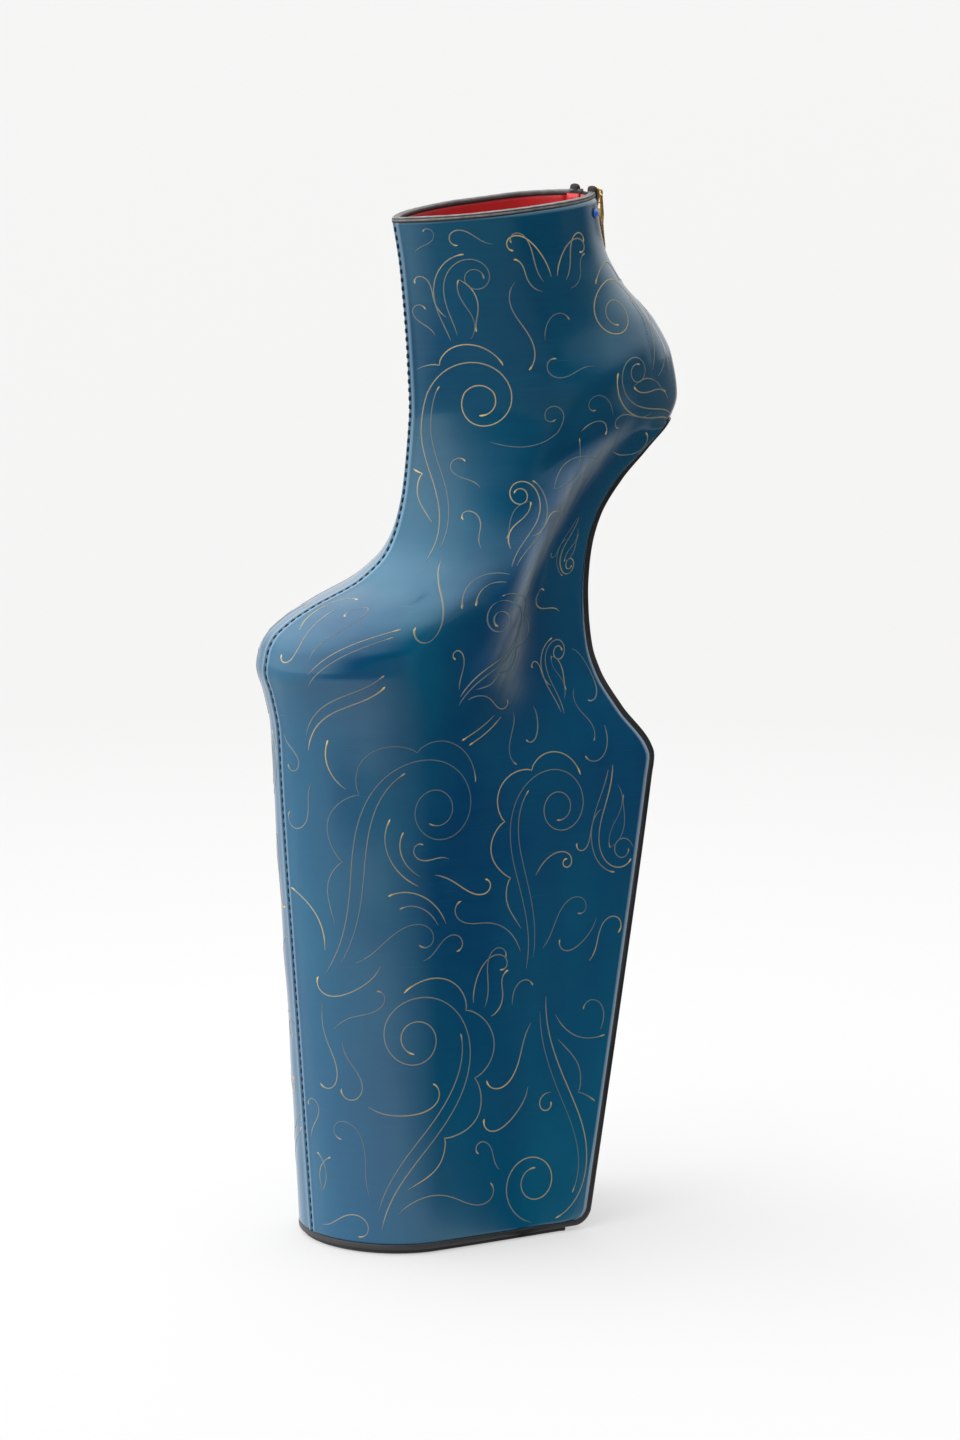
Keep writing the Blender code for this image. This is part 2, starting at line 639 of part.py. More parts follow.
def main():
    clear_scene()
    group = new_collection("heelless_platform_boot")
    cutters = new_collection("cutters")
    leather = material("blue_leather", (0.012, 0.085, 0.19), 0.35)
    block = material("platform_block", (0.45, 0.32, 0.2), 0.7)
    lining = material("red_lining", (0.28, 0.01, 0.012), 0.6)
    black = material("black_sole", (0.012, 0.012, 0.013), 0.4)
    tread = material("black_tread", (0.015, 0.015, 0.016), 0.75)
    tape = material("black_tape", (0.01, 0.01, 0.011), 0.8)
    gold = material("gold_metal", (0.83, 0.6, 0.25), 0.25, 1.0)
    blue = material("blue_stud", (0.02, 0.16, 0.5), 0.3)
    make_upper(group, leather)
    make_platform(group, cutters, block)
    make_insole(group, lining)
    make_sole(group, black)
    make_outsole(group, tread)
    zip_band("zip_tape", TAPE_HALF, -TAPE_SINK - TAPE_T, -TAPE_SINK, group, tape)
    zip_band("zip_chain", CHAIN_HALF, GAP - TAPE_SINK, CHAIN_PROUD, group, gold)
    make_slider(group, cutters, gold)
    make_pull(group, gold)
    make_tape_ends(group, tape)
    make_studs(group, blue)


main()
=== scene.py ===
# Heel-less platform boot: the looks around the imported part.
# Lengths are millimetres in the shoe's own x, y, z until a mesh is made; place() turns them into metres.
import math

import bmesh
import bpy
import numpy as np
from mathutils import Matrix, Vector


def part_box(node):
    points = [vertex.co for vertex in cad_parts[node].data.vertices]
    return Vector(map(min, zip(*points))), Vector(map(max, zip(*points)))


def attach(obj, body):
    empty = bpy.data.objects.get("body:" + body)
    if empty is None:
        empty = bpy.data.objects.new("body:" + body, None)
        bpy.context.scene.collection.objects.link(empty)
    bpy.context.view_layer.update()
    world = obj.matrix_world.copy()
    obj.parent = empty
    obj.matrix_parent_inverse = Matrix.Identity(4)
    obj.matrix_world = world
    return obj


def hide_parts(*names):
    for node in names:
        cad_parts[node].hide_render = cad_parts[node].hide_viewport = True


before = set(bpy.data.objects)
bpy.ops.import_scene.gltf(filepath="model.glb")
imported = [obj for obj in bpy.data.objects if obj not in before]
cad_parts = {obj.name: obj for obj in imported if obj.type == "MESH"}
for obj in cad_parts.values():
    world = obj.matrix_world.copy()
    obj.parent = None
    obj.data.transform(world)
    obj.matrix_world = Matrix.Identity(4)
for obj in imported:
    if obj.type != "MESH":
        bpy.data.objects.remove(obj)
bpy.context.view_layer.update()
print("frame loaded:", len(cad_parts), "nodes")

# Horizontal sections of the leather, floor to collar, the same as in the solids
sectionNames = ("level", "front", "widest", "back", "halfWide", "halfBack", "nose", "tail", "crown",
                "ridgeX", "ridge")
sectionRows = np.array([
    (0.0, -0.6, 38.0, 112.9, 44.0, 43.0, 2.0, 1.8, 0.0, 40.0, 0.0),
    (100.0, -7.6, 40.0, 133.8, 41.0, 36.0, 2.0, 1.8, 0.0, 50.0, 0.0),
    (200.0, -14.6, 39.0, 152.2, 39.5, 31.5, 2.0, 1.8, 0.0, 60.0, 0.0),
    (209.0, -15.1, 39.0, 153.7, 39.5, 31.0, 2.0, 1.8, 0.0, 60.0, 0.0),
    (213.0, -15.3, 39.0, 152.4, 39.5, 30.5, 2.0, 1.8, 0.0, 60.0, 0.0),
    (230.0, -16.2, 39.0, 139.8, 40.3, 27.0, 2.0, 1.8, 0.0, 60.0, 0.6),
    (247.0, -19.6, 36.0, 131.0, 42.3, 22.0, 2.0, 1.8, 0.0, 64.0, 2.0),
    (257.0, -22.5, 32.0, 128.6, 43.0, 20.0, 2.0, 1.8, 0.3, 68.5, 3.0),
    (265.0, -21.3, 32.0, 128.0, 43.0, 19.0, 1.85, 1.9, 0.5, 73.5, 3.6),
    (271.0, -18.3, 36.0, 127.9, 42.6, 18.4, 1.7, 2.0, 0.7, 76.5, 4.0),
    (277.0, -10.8, 42.0, 128.0, 42.0, 18.0, 1.55, 2.1, 0.9, 78.5, 4.2),
    (283.0, 0.6, 52.0, 128.3, 41.0, 17.6, 1.45, 2.2, 1.1, 80.5, 4.3),
    (293.0, 24.0, 68.0, 129.4, 38.8, 17.2, 1.38, 2.3, 1.4, 84.5, 4.3),
    (304.0, 37.0, 80.0, 131.6, 36.6, 17.0, 1.33, 2.4, 1.8, 90.0, 4.2),
    (317.0, 43.0, 88.0, 136.8, 34.4, 17.0, 1.3, 2.6, 2.5, 98.5, 3.8),
    (332.0, 46.4, 95.0, 149.3, 32.6, 16.6, 1.28, 2.9, 4.0, 111.5, 3.0),
    (345.0, 47.8, 103.0, 166.4, 31.2, 16.0, 1.22, 3.3, 6.0, 128.5, 1.6),
    (356.0, 48.7, 110.0, 179.8, 30.4, 15.4, 1.18, 3.6, 7.6, 143.5, 0.4),
    (366.0, 49.3, 114.0, 184.0, 30.0, 15.0, 1.15, 3.7, 8.5, 150.0, 0.0),
    (383.0, 48.6, 112.0, 181.0, 29.6, 14.6, 1.12, 3.7, 8.2, 150.0, 0.0),
    (399.0, 47.6, 106.0, 171.6, 29.0, 14.0, 1.12, 3.7, 7.4, 145.0, 0.0),
    (415.0, 46.2, 99.0, 154.8, 28.0, 13.0, 1.15, 3.7, 6.0, 130.0, 0.0),
    (430.0, 44.6, 95.0, 145.2, 27.2, 12.4, 1.2, 3.7, 5.2, 120.0, 0.0),
    (450.0, 41.2, 92.0, 140.8, 26.8, 12.0, 1.3, 3.7, 5.0, 118.0, 0.0),
])
sectionTable = dict(zip(sectionNames, sectionRows.T))

lastForm = {
    "originX": 80.75,
    "baseTop": 4.7,
    "baseCorner": 5.0,
    "collar": 450.0,
    "rimRise": 8.0,
    "rimRiseStart": 370.0,
    "ridgeWidth": 10.0,
    "ridgeOuterShare": 0.6,
    "heelStart": 356.0,
    "zipStart": 374.0,
    "zipSlot": 4.6,
    "sideSteps": 90,        # points along each part of a side, and along half of the back
    "backSteps": 30,
    "trackSteps": 1200,     # levels read where rows are spaced, and the lines up the side that they follow
    "tracks": (0.12, 0.4, 0.75),
}
millimetre = 0.001


def monotone(at, knots, values):
    # cubic through the knots; slopes are weighted harmonic means, flat at turning points
    gaps = np.diff(knots)
    rates = np.diff(values) / gaps
    before = 2 * gaps[1:] + gaps[:-1]
    after = gaps[1:] + 2 * gaps[:-1]
    same = rates[:-1] * rates[1:] > 0
    inner = np.zeros(len(values) - 2)
    inner[same] = (before + after)[same] / (before[same] / rates[:-1][same] + after[same] / rates[1:][same])
    slopes = np.concatenate([rates[:1], inner, rates[-1:]])
    k = np.clip(np.searchsorted(knots, at) - 1, 0, len(gaps) - 1)
    t = (at - knots[k]) / gaps[k]
    rise = values[k + 1] - values[k]
    bend = slopes[k] * gaps[k] - rise
    bendEnd = rise - slopes[k + 1] * gaps[k]
    return values[k] + rise * t + t * (1 - t) * (bend * (1 - t) + bendEnd * t)


def smoothStep(value, low, high):
    # 0 below low, 1 above high, with a soft change between
    share = np.clip((value - low) / (high - low), 0.0, 1.0)
    return share * share * (3 - 2 * share)


def bell(value, width):
    # 1 at zero, falling softly over a width on both sides
    return np.exp(-(value / width) ** 2)


def fromLow(low, share):
    # low where the share is 0, rising evenly to 1
    return low + (1 - low) * share


def squared(value, power):
    # a sine or cosine pushed out, so that its circle turns towards a square
    return np.sign(value) * np.abs(value) ** power


def fullTurn(count):
    # angles at even steps once round
    return np.linspace(0.0, 2 * math.pi, count, endpoint=False)


def runOf(line):
    # distance along a line at each of its points
    return np.concatenate([[0.0], np.cumsum(np.linalg.norm(np.diff(line, axis=0), axis=1))])


def readLine(line, run, at):
    # points of a line at distances along it
    return np.stack([np.interp(at, run, line[:, k]) for k in range(line.shape[1])], axis=-1)


def directions(line):
    # unit direction of a line at each of its points
    way = np.gradient(line, axis=0)
    return way / np.linalg.norm(way, axis=1)[:, None]


def sections(level):
    # every column of the table at an array of levels, the base's back corner rounded off
    row = {name: monotone(level, sectionTable["level"], sectionTable[name]) for name in sectionNames[1:]}
    radius = lastForm["baseCorner"]
    drop = np.clip(radius - (level - lastForm["baseTop"]), 0.0, radius)
    row["back"] = row["back"] - (radius - np.sqrt(radius ** 2 - drop ** 2))
    row["corner"] = row["back"] - row["crown"]
    return row


def asColumns(row):
    # the arrays of sections as columns, to meet rows of points
    return {name: values[:, None] for name, values in row.items()}


def backAt(y, row):
    # x of the bowed back at distances from the middle
    return row["corner"] + row["crown"] * (1 - (y / row["halfBack"]) ** 2)


def heightAt(level, x, row):
    # near the collar the sections tip up towards the back
    share = np.clip((level - lastForm["rimRiseStart"]) / (lastForm["collar"] - lastForm["rimRiseStart"]), 0, 1)
    return level + lastForm["rimRise"] * share ** 2 * (x - row["front"]) / (row["back"] - row["front"])


def slotHalf(level):
    # half width of the zip's opening in the back: closed below its round end
    radius = lastForm["zipSlot"]
    below = np.clip((lastForm["zipStart"] + radius - level) / radius, 0.0, 1.0)
    return radius * np.sqrt(1 - below ** 2)


def halfOutline(level, side, withBack=True):
    # one side of each section as rows of points: nose, tail, then the bowed back in to the zip
    row = asColumns(sections(level))
    angle = np.linspace(0.0, math.pi / 2, lastForm["sideSteps"])[None, :]
    share = np.sin(angle[:, 1:])
    noseX = row["front"] + (row["widest"] - row["front"]) * (1 - np.cos(angle))
    noseY = row["halfWide"] * np.sin(angle) ** (2 / row["nose"])
    tailX = row["widest"] + (row["corner"] - row["widest"]) * share
    tailY = row["halfBack"] + (row["halfWide"] - row["halfBack"]) * (1 - share ** row["tail"])
    x = np.concatenate([noseX, tailX], axis=1)
    y = np.concatenate([noseY, tailY], axis=1)
    along = (x - row["front"]) / (row["corner"] - row["front"])
    lift = row["ridge"] * (1.0 if side < 0 else lastForm["ridgeOuterShare"])
    y = y + lift * bell(x - row["ridgeX"], lastForm["ridgeWidth"]) * np.sin(math.pi * along)
    if withBack:
        inTo = np.where(level >= lastForm["heelStart"], slotHalf(level), row["halfBack"][:, 0])[:, None]
        shares = np.linspace(0.0, 1.0, lastForm["backSteps"])[None, 1:]
        backY = row["halfBack"] + (inTo - row["halfBack"]) * shares
        x = np.concatenate([x, backAt(backY, row)], axis=1)
        y = np.concatenate([y, backY], axis=1)
    z = heightAt(level[:, None], x, row)
    steps = np.hypot(np.diff(x, axis=1, prepend=x[:, :1]), np.diff(y, axis=1, prepend=y[:, :1]))
    run = np.cumsum(steps, axis=1)
    return np.stack([x, side * y, z], axis=2), run + np.arange(run.shape[1]) * 1e-9


def readAlong(points, run, stations):
    # each row of points read at its own distances along the row
    return np.stack([[np.interp(at, way, line[:, k]) for k in range(3)]
                     for at, way, line in zip(stations, run, points)]).transpose(0, 2, 1)


def sideGrid(level, side, shares):
    # one side of each section at shares of its length from the seam to the back corner
    points, run = halfOutline(level, side, False)
    return readAlong(points, run, run[:, -1:] * np.asarray(shares)[None, :])


def evenLevels(low, high, count):
    # levels at equal distances along the leather, averaged over a few lines up the side, and the whole length
    dense = np.linspace(low, high, lastForm["trackSteps"])
    tracks = sideGrid(dense, -1, lastForm["tracks"])
    way = np.concatenate([[0.0], np.cumsum(np.linalg.norm(np.diff(tracks, axis=0), axis=2).mean(axis=1))])
    return np.interp(np.linspace(0.0, way[-1], count), way, dense), way[-1]


def gridNormals(points):
    # unit normals of a grid of points: across its columns times up its rows
    normal = np.cross(np.gradient(points, axis=1), np.gradient(points, axis=0))
    return normal / np.maximum(np.linalg.norm(normal, axis=2, keepdims=True), 1e-9)


def gridFaces(rows, columns, flip=False, wrapRows=False, wrapColumns=False):
    # quads of a grid numbered row by row, joined round where it wraps
    i, j = np.meshgrid(np.arange(rows if wrapRows else rows - 1),
                       np.arange(columns if wrapColumns else columns - 1), indexing="ij")
    below = (i % rows) * columns
    above = ((i + 1) % rows) * columns
    right = (j + 1) % columns
    quads = np.stack([below + j, below + right, above + right, above + j], axis=2).reshape(-1, 4)
    return quads[:, ::-1] if flip else quads


def tubeFaces(rows, columns):
    # faces of a grid that closes round its columns, with a cap at each end
    first = np.arange(columns)
    return [*gridFaces(rows, columns, wrapColumns=True), first, first[::-1] + (rows - 1) * columns]


def repeatFaces(faces, count, step):
    # the faces of one small shape for a row of them
    return (faces[None] + np.arange(count)[:, None, None] * step).reshape(-1, 4)


def joinParts(parts):
    # grids of points and their faces as one list of points and one of faces
    points = [grid.reshape(-1, 3) for grid, _ in parts]
    starts = np.cumsum([0] + [len(part) for part in points[:-1]])
    return np.concatenate(points), np.concatenate([faces + start for (_, faces), start in zip(parts, starts)])


def place(points):
    # shoe millimetres to the part's metres
    return (np.asarray(points, float).reshape(-1, 3) - (lastForm["originX"], 0.0, 0.0)) * millimetre


def boxOf(nodeName):
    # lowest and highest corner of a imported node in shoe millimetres
    return [np.array(corner) / millimetre + (lastForm["originX"], 0.0, 0.0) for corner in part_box(nodeName)]


def addObject(name, data):
    # object linked into the scene
    thing = bpy.data.objects.new(name, data)
    bpy.context.scene.collection.objects.link(thing)
    return thing


def makePiece(name, points, faces, material, body="shoe", weld=0.0, recalculate=False, values=None, sharp=None):
    # mesh object in the part's frame that rides on a body; values are named numbers for each vertex
    mesh = bpy.data.meshes.new(name)
    mesh.from_pydata(place(points), [], [face.tolist() for face in faces])
    for key, numbers in (values or {}).items():
        layer = mesh.attributes.new(key, "FLOAT", "POINT")
        layer.data.foreach_set("value", np.asarray(numbers, np.float32).ravel())
    shape = bmesh.new()
    shape.from_mesh(mesh)
    if weld:
        bmesh.ops.remove_doubles(shape, verts=shape.verts, dist=weld * millimetre)
    if recalculate:
        bmesh.ops.recalc_face_normals(shape, faces=shape.faces)
    shape.to_mesh(mesh)
    shape.free()
    mesh.shade_smooth()
    if sharp:
        mesh.set_sharp_from_angle(angle=math.radians(sharp))
    mesh.materials.append(material)
    piece = addObject(name, mesh)
    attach(piece, body)
    return piece


def addWall(piece, thickness, even=False):
    # a sheet thickened inwards
    wall = piece.modifiers.new("wall", "SOLIDIFY")
    wall.thickness = thickness * millimetre
    wall.offset = -1.0
    wall.use_even_offset = even


# Shader helpers

def addNode(tree, kind, links=None, **settings):
    # node with settings by name, and sockets by name or number: a link source or a value
    node = tree.nodes.new(kind)
    for key, value in settings.items():
        setattr(node, key, value)
    for key, value in (links or {}).items():
        if isinstance(value, bpy.types.NodeSocket):
            tree.links.new(value, node.inputs[key])
        else:
            node.inputs[key].default_value = value
    return node


def newMaterial(name, roughness=0.5, metallic=0.0, specular=0.5):
    # empty Principled material and its shader node
    material = bpy.data.materials.new(name)
    material.use_nodes = True
    shader = material.node_tree.nodes["Principled BSDF"]
    shader.inputs["Roughness"].default_value = roughness
    shader.inputs["Metallic"].default_value = metallic
    shader.inputs["Specular IOR Level"].default_value = specular
    return material, material.node_tree, shader


def newGroup(name, inputs, outputs):
    # shader node group with float inputs and named outputs
    group = bpy.data.node_groups.new(name, "ShaderNodeTree")
    for key, value in inputs.items():
        socket = group.interface.new_socket(key, in_out="INPUT", socket_type="NodeSocketFloat")
        socket.default_value = value
    for key, kind in outputs.items():
        group.interface.new_socket(key, in_out="OUTPUT", socket_type=kind)
    return group, group.nodes.new("NodeGroupInput"), group.nodes.new("NodeGroupOutput")


def mixColours(tree, factor, first, second, blend="MIX"):
    # colour mix; each argument is a link source or a value
    node = addNode(tree, "ShaderNodeMix", data_type="RGBA", blend_type=blend,
                   links={0: factor, 6: first, 7: second})
    return node.outputs[2]


def rescale(tree, value, low, high, newLow=0.0, newHigh=1.0):
    # value mapped from one range to another, clamped
    node = addNode(tree, "ShaderNodeMapRange", {"Value": value, "From Min": low, "From Max": high,
                                                "To Min": newLow, "To Max": newHigh})
    return node.outputs["Result"]


def maths(tree, operation, first, second, third=0.0):
    # one step of arithmetic
    return addNode(tree, "ShaderNodeMath", {0: first, 1: second, 2: third}, operation=operation).outputs[0]


def towards(tree, direction, side):
    # how far a direction points to a side: their dot product
    return addNode(tree, "ShaderNodeVectorMath", {0: direction, 1: side}, operation="DOT_PRODUCT").outputs["Value"]


def objectPlace(tree):
    # the place on a piece, in its own frame
    return addNode(tree, "ShaderNodeTexCoord").outputs["Object"]


def stretched(tree, where, scale=(1.0, 1.0, 1.0), shift=(0.0, 0.0, 0.0)):
    # a place scaled and shifted
    return addNode(tree, "ShaderNodeMapping", {"Vector": where, "Scale": scale, "Location": shift}).outputs[0]


def noise(tree, where, scale, detail, roughness=0.5, distortion=0.0):
    # soft noise over a place
    node = addNode(tree, "ShaderNodeTexNoise", {"Vector": where, "Scale": scale, "Detail": detail,
                                                "Roughness": roughness, "Distortion": distortion})
    return node.outputs[0]


def vertexValue(tree, name):
    # a number that the mesh holds at its vertices
    return addNode(tree, "ShaderNodeAttribute", attribute_name=name).outputs["Fac"]


# Effects shared by several finishes

def makeGrain():
    # fine hide grain: cells plus noise, and a slow mottle for gloss
    group, given, result = newGroup("hideGrain", {"Grain Scale": 900.0, "Mottle Scale": 30.0},
                                    {"Height": "NodeSocketFloat", "Mottle": "NodeSocketFloat"})
    where = objectPlace(group)
    scale = given.outputs["Grain Scale"]
    cells = addNode(group, "ShaderNodeTexVoronoi", {"Vector": where, "Scale": scale}).outputs["Distance"]
    height = maths(group, "MULTIPLY_ADD", cells, 0.6, noise(group, where, scale, 3.0))
    group.links.new(height, result.inputs["Height"])
    group.links.new(noise(group, where, given.outputs["Mottle Scale"], 4.0, 0.6), result.inputs["Mottle"])
    return group


patina = {
    "deep": (0.0, 0.028, 0.082, 1.0),
    "mid": (0.0, 0.053, 0.107, 1.0),
    "light": (0.0, 0.077, 0.142, 1.0),
    "dull": (0.008, 0.052, 0.082, 1.0),
    # dark: painted shade, laid over the ankle
    "dark": (0.0, 0.030, 0.060, 1.0),
    "scratch": (0.030, 0.120, 0.190, 1.0),
}


def makePatina():
    # hand-rubbed blue: upright clouds from navy to teal, dull worn clouds, paler low down and painted shade that
    # darkens the ankle, with level brush marks and a few scratches
    group, given, result = newGroup("bluePatina", {"Cloud Scale": 16.0}, {"Colour": "NodeSocketColor"})
    where = objectPlace(group)
    height = addNode(group, "ShaderNodeSeparateXYZ", {"Vector": where}).outputs["Z"]
    clouds = noise(group, stretched(group, where, (1.0, 1.0, 0.45)), given.outputs["Cloud Scale"], 4.0, 0.5, 0.3)
    brush = noise(group, stretched(group, where, (1.0, 1.0, 11.0)), 42.0, 5.0, 0.65)
    worn = noise(group, stretched(group, where, shift=(3.1, 1.7, 0.4)), 21.0, 4.0, 0.6)
    scratch = noise(group, stretched(group, where, (1.0, 1.0, 60.0)), 45.0, 2.0)
    wear = maths(group, "MULTIPLY", rescale(group, worn, 0.42, 0.72), rescale(group, height, 0.30, 0.40, 0.08, 0.7))
    tone = patina["deep"]
    for amount, name in ((rescale(group, clouds, 0.34, 0.62), "mid"),
                         (rescale(group, clouds, 0.55, 0.78, 0.0, 0.7), "light"),
                         (wear, "dull"),
                         (rescale(group, height, 0.20, 0.0, 0.0, 0.25), "light"),
                         # painted shade: the ankle darkened
                         (rescale(group, height, 0.27, 0.34, 0.0, 0.5), "dark"),
                         (rescale(group, brush, 0.35, 0.7, 0.0, 0.3), "mid"),
                         (rescale(group, scratch, 0.69, 0.78, 0.0, 0.3), "scratch")):
        tone = mixColours(group, amount, tone, patina[name])
    group.links.new(tone, result.inputs["Colour"])
    return group


hideGrain = makeGrain()
bluePatina = makePatina()


def useGroup(tree, group, **values):
    # a shared effect in a material, its inputs by name with low lines for spaces
    links = {key.replace("_", " "): value for key, value in values.items()}
    return addNode(tree, "ShaderNodeGroup", links, node_tree=group)


def addGrain(tree, shader, strength, distance, grainScale, roughLow, roughHigh, mottleScale=30.0):
    # grain bump and a gloss that wanders between two roughness values
    grain = useGroup(tree, hideGrain, Grain_Scale=grainScale, Mottle_Scale=mottleScale)
    bump = addNode(tree, "ShaderNodeBump", {"Height": grain.outputs["Height"], "Strength": strength,
                                            "Distance": distance})
    tree.links.new(bump.outputs[0], shader.inputs["Normal"])
    tree.links.new(rescale(tree, grain.outputs["Mottle"], 0.3, 0.7, roughLow, roughHigh),
                   shader.inputs["Roughness"])
    return grain


leather = {
    "specular": 0.85,
    "specularTint": (0.72, 0.93, 1.0, 1.0),
    "streakAlong": (9.0, -5.0, 22.0),
    "streakAcross": (210.0, 60.0, -118.0),
    # navy patina deepened as painted shade about the fold
    "navyAndShade": (0.0, 0.022, 0.068, 1.0),
    # painted highlight with some wear, in smoky streaks along the fold
    "sheenAndWear": (0.130, 0.152, 0.168, 1.0),
    # edge: pale cut edge with a painted highlight along it
    "edge": (0.42, 0.54, 0.66, 1.0),
}


def makeLeather():
    # patina leather: navy patina with painted shade about the fold, a painted highlight with wear in smoky streaks
    # along it, and a pale cut edge with a painted highlight where the edge value is high
    material, tree, shader = newMaterial("blueLeather", specular=leather["specular"])
    shader.inputs["Specular Tint"].default_value = leather["specularTint"]
    colour = useGroup(tree, bluePatina).outputs["Colour"]
    where = objectPlace(tree)
    streakAt = addNode(tree, "ShaderNodeCombineXYZ", {"X": towards(tree, where, leather["streakAlong"]),
                                                      "Y": towards(tree, where, leather["streakAcross"])})
    streak = noise(tree, streakAt.outputs[0], 1.0, 5.0, 0.6, 0.8)
    # smoky streaks along the fold: a painted highlight on its crest, partly wear
    sheenAndWear = maths(tree, "MULTIPLY", vertexValue(tree, "sheenAndWear"), rescale(tree, streak, 0.34, 0.62, 0.55, 1.0))
    # navy patina with painted shade about the fold, then the painted highlight with wear, then the pale edge
    for amount, name in ((rescale(tree, vertexValue(tree, "navyAndShade"), 0.0, 1.0, 0.0, 0.85), "navyAndShade"),
                         (rescale(tree, sheenAndWear, 0.0, 1.0, 0.0, 0.95), "sheenAndWear"),
                         (rescale(tree, vertexValue(tree, "edge"), 0.15, 1.0, 0.0, 0.85), "edge")):
        colour = mixColours(tree, amount, colour, leather[name])
    tree.links.new(colour, shader.inputs["Base Color"])
    addGrain(tree, shader, 0.07, 0.0002, 1500.0, 0.11, 0.18)
    return material


def makeInk():
    # tooled line: ochre in the groove, leather on its lips, fading to grey blue where the ink is thin
    material, tree, shader = newMaterial("ochreLine", roughness=0.4)
    colour = useGroup(tree, bluePatina).outputs["Colour"]
    paint = mixColours(tree, vertexValue(tree, "tone"), (0.055, 0.110, 0.125, 1.0), (0.43, 0.30, 0.095, 1.0))
    tree.links.new(mixColours(tree, vertexValue(tree, "ink"), colour, paint), shader.inputs["Base Color"])
    addGrain(tree, shader, 0.1, 0.0002, 1400.0, 0.34, 0.5)
    return material


def makePlain(name, colour, second, grainScale, strength, roughLow, roughHigh, distance=0.0003, mottleScale=60.0,
              metallic=0.0):
    # one-colour finish with grain and a slow change towards a second colour
    material, tree, shader = newMaterial(name, metallic=metallic)
    grain = addGrain(tree, shader, strength, distance, grainScale, roughLow, roughHigh, mottleScale)
    change = rescale(tree, grain.outputs["Mottle"], 0.35, 0.7)
    tree.links.new(mixColours(tree, change, (*colour, 1.0), (*second, 1.0)), shader.inputs["Base Color"])
    return material


def makeTape():
    # woven tape: two crossed waves along its own threads
    material, tree, shader = newMaterial("blackTape", roughness=0.85)
    where = objectPlace(tree)
    warp, weft = [addNode(tree, "ShaderNodeTexWave", {"Vector": where, "Scale": scale, "Distortion": 0.6},
                          bands_direction=across).outputs["Fac"] for across, scale in (("Y", 420.0), ("Z", 520.0))]
    weave = maths(tree, "MULTIPLY", warp, weft)
    bump = addNode(tree, "ShaderNodeBump", {"Height": weave, "Strength": 0.5, "Distance": 0.0003})
    tree.links.new(bump.outputs[0], shader.inputs["Normal"])
    tree.links.new(mixColours(tree, weave, (0.004, 0.004, 0.005, 1.0), (0.022, 0.022, 0.025, 1.0)),
                   shader.inputs["Base Color"])
    return material


def makeRimEdge():
    # cut edges of the layers: dark where the layers meet, elsewhere pale grey beige, a painted sheen of light on the
    # dark edge paint
    material, tree, shader = newMaterial("cutEdge", roughness=0.6)
    grain = addGrain(tree, shader, 0.3, 0.0003, 1500.0, 0.45, 0.65, 220.0)
    # pale grey beige: painted sheen of light on the edge paint
    pale = mixColours(tree, rescale(tree, grain.outputs["Mottle"], 0.35, 0.65),
                      (0.07, 0.072, 0.075, 1.0), (0.16, 0.155, 0.15, 1.0))
    tree.links.new(mixColours(tree, vertexValue(tree, "layer"), pale, (0.012, 0.012, 0.014, 1.0)),
                   shader.inputs["Base Color"])
    return material


def makeWood():
    # pale block wood with level growth lines
    material, tree, shader = newMaterial("blockWood", roughness=0.7)
    rings = addNode(tree, "ShaderNodeTexWave", {"Vector": objectPlace(tree), "Scale": 30.0, "Distortion": 4.0,
                                                "Detail": 3.0}).outputs["Fac"]
    tree.links.new(mixColours(tree, rings, (0.36, 0.23, 0.13, 1.0), (0.52, 0.38, 0.24, 1.0)),
                   shader.inputs["Base Color"])
    return material


blueLeather = makeLeather()
ochreLine = makeInk()
redLining = makePlain("redLining", (0.40, 0.004, 0.006), (0.29, 0.003, 0.005), 1000.0, 0.15, 0.5, 0.65)
blackSole = makePlain("blackSole", (0.008, 0.008, 0.009), (0.014, 0.014, 0.015), 1300.0, 0.12, 0.35, 0.5)
blackTread = makePlain("blackTread", (0.010, 0.010, 0.011), (0.020, 0.020, 0.021), 700.0, 0.5, 0.7, 0.85)
blackThread = makePlain("blackThread", (0.006, 0.006, 0.007), (0.016, 0.015, 0.016), 2600.0, 0.5, 0.55, 0.75)
blackTape = makeTape()
goldMetal = makePlain("goldMetal", (0.87, 0.66, 0.30), (0.72, 0.50, 0.20), 2500.0, 0.05, 0.16, 0.34, 0.0001, 300.0,
                      metallic=1.0)
blueEnamel = makePlain("blueEnamel", (0.010, 0.12, 0.55), (0.006, 0.08, 0.42), 600.0, 0.03, 0.15, 0.25)
cutEdge = makeRimEdge()
blockWood = makeWood()
print("finishes made")


# Leather skin: the sections swept from floor to collar, with soft creases

skin = {
    "rows": 250,
    "columns": 78,
    "heelColumns": 9,
    "seamStations": (0.0, 0.5, 1.0, 1.6, 2.4, 3.4),
    "thickness": 1.6,
    "weld": 0.02,
    "rimDrop": 1.8,         # the cut edge covers the last stretch below the rim
    "seamGroove": 0.5,
    "grooveWidth": 0.7,
    "seamLip": 0.3,
    "seamLipAt": 1.9,
    "seamLipWidth": 0.9,
    "seamPale": 0.35,       # how pale the seam's lips are
    "edgeFade": 0.75,       # distance over which the pale edge beside the sole fades: the cut edge with a painted highlight along it
    "unevenness": 0.14,
    "waveLengths": ((9.0, 23.0), (-31.0, 13.0), (17.0, -7.5)),   # along x and up
    "evenBeside": (3.0, 12.0),     # the unevenness stays off the seam, the floor and the collar
    "evenOver": (12.0, 40.0),
    "evenUnder": (425.0, 445.0),
    "creaseEnd": 0.25,      # share of a crease's height at its ends
    "cornerFade": 6.0,      # every lift dies out over this distance from the back corner
    "soleLip": 1.2,         # the leather stands up a little beside the arch of the sole
    "lipLow": 0.25,         # share of it that stays below the arch
    "lipLevels": (240.0, 280.0),
    "lipFade": 20.0,
    "outerShare": 0.6,      # creases are weaker on the outer side
    "shadeSpread": 3.4,      # the painted shade in navy about the fold is wider than the painted highlight and wear by this
    "sideX": np.arange(-24.0, 186.0, 1.0),   # where the side view is read along x
}
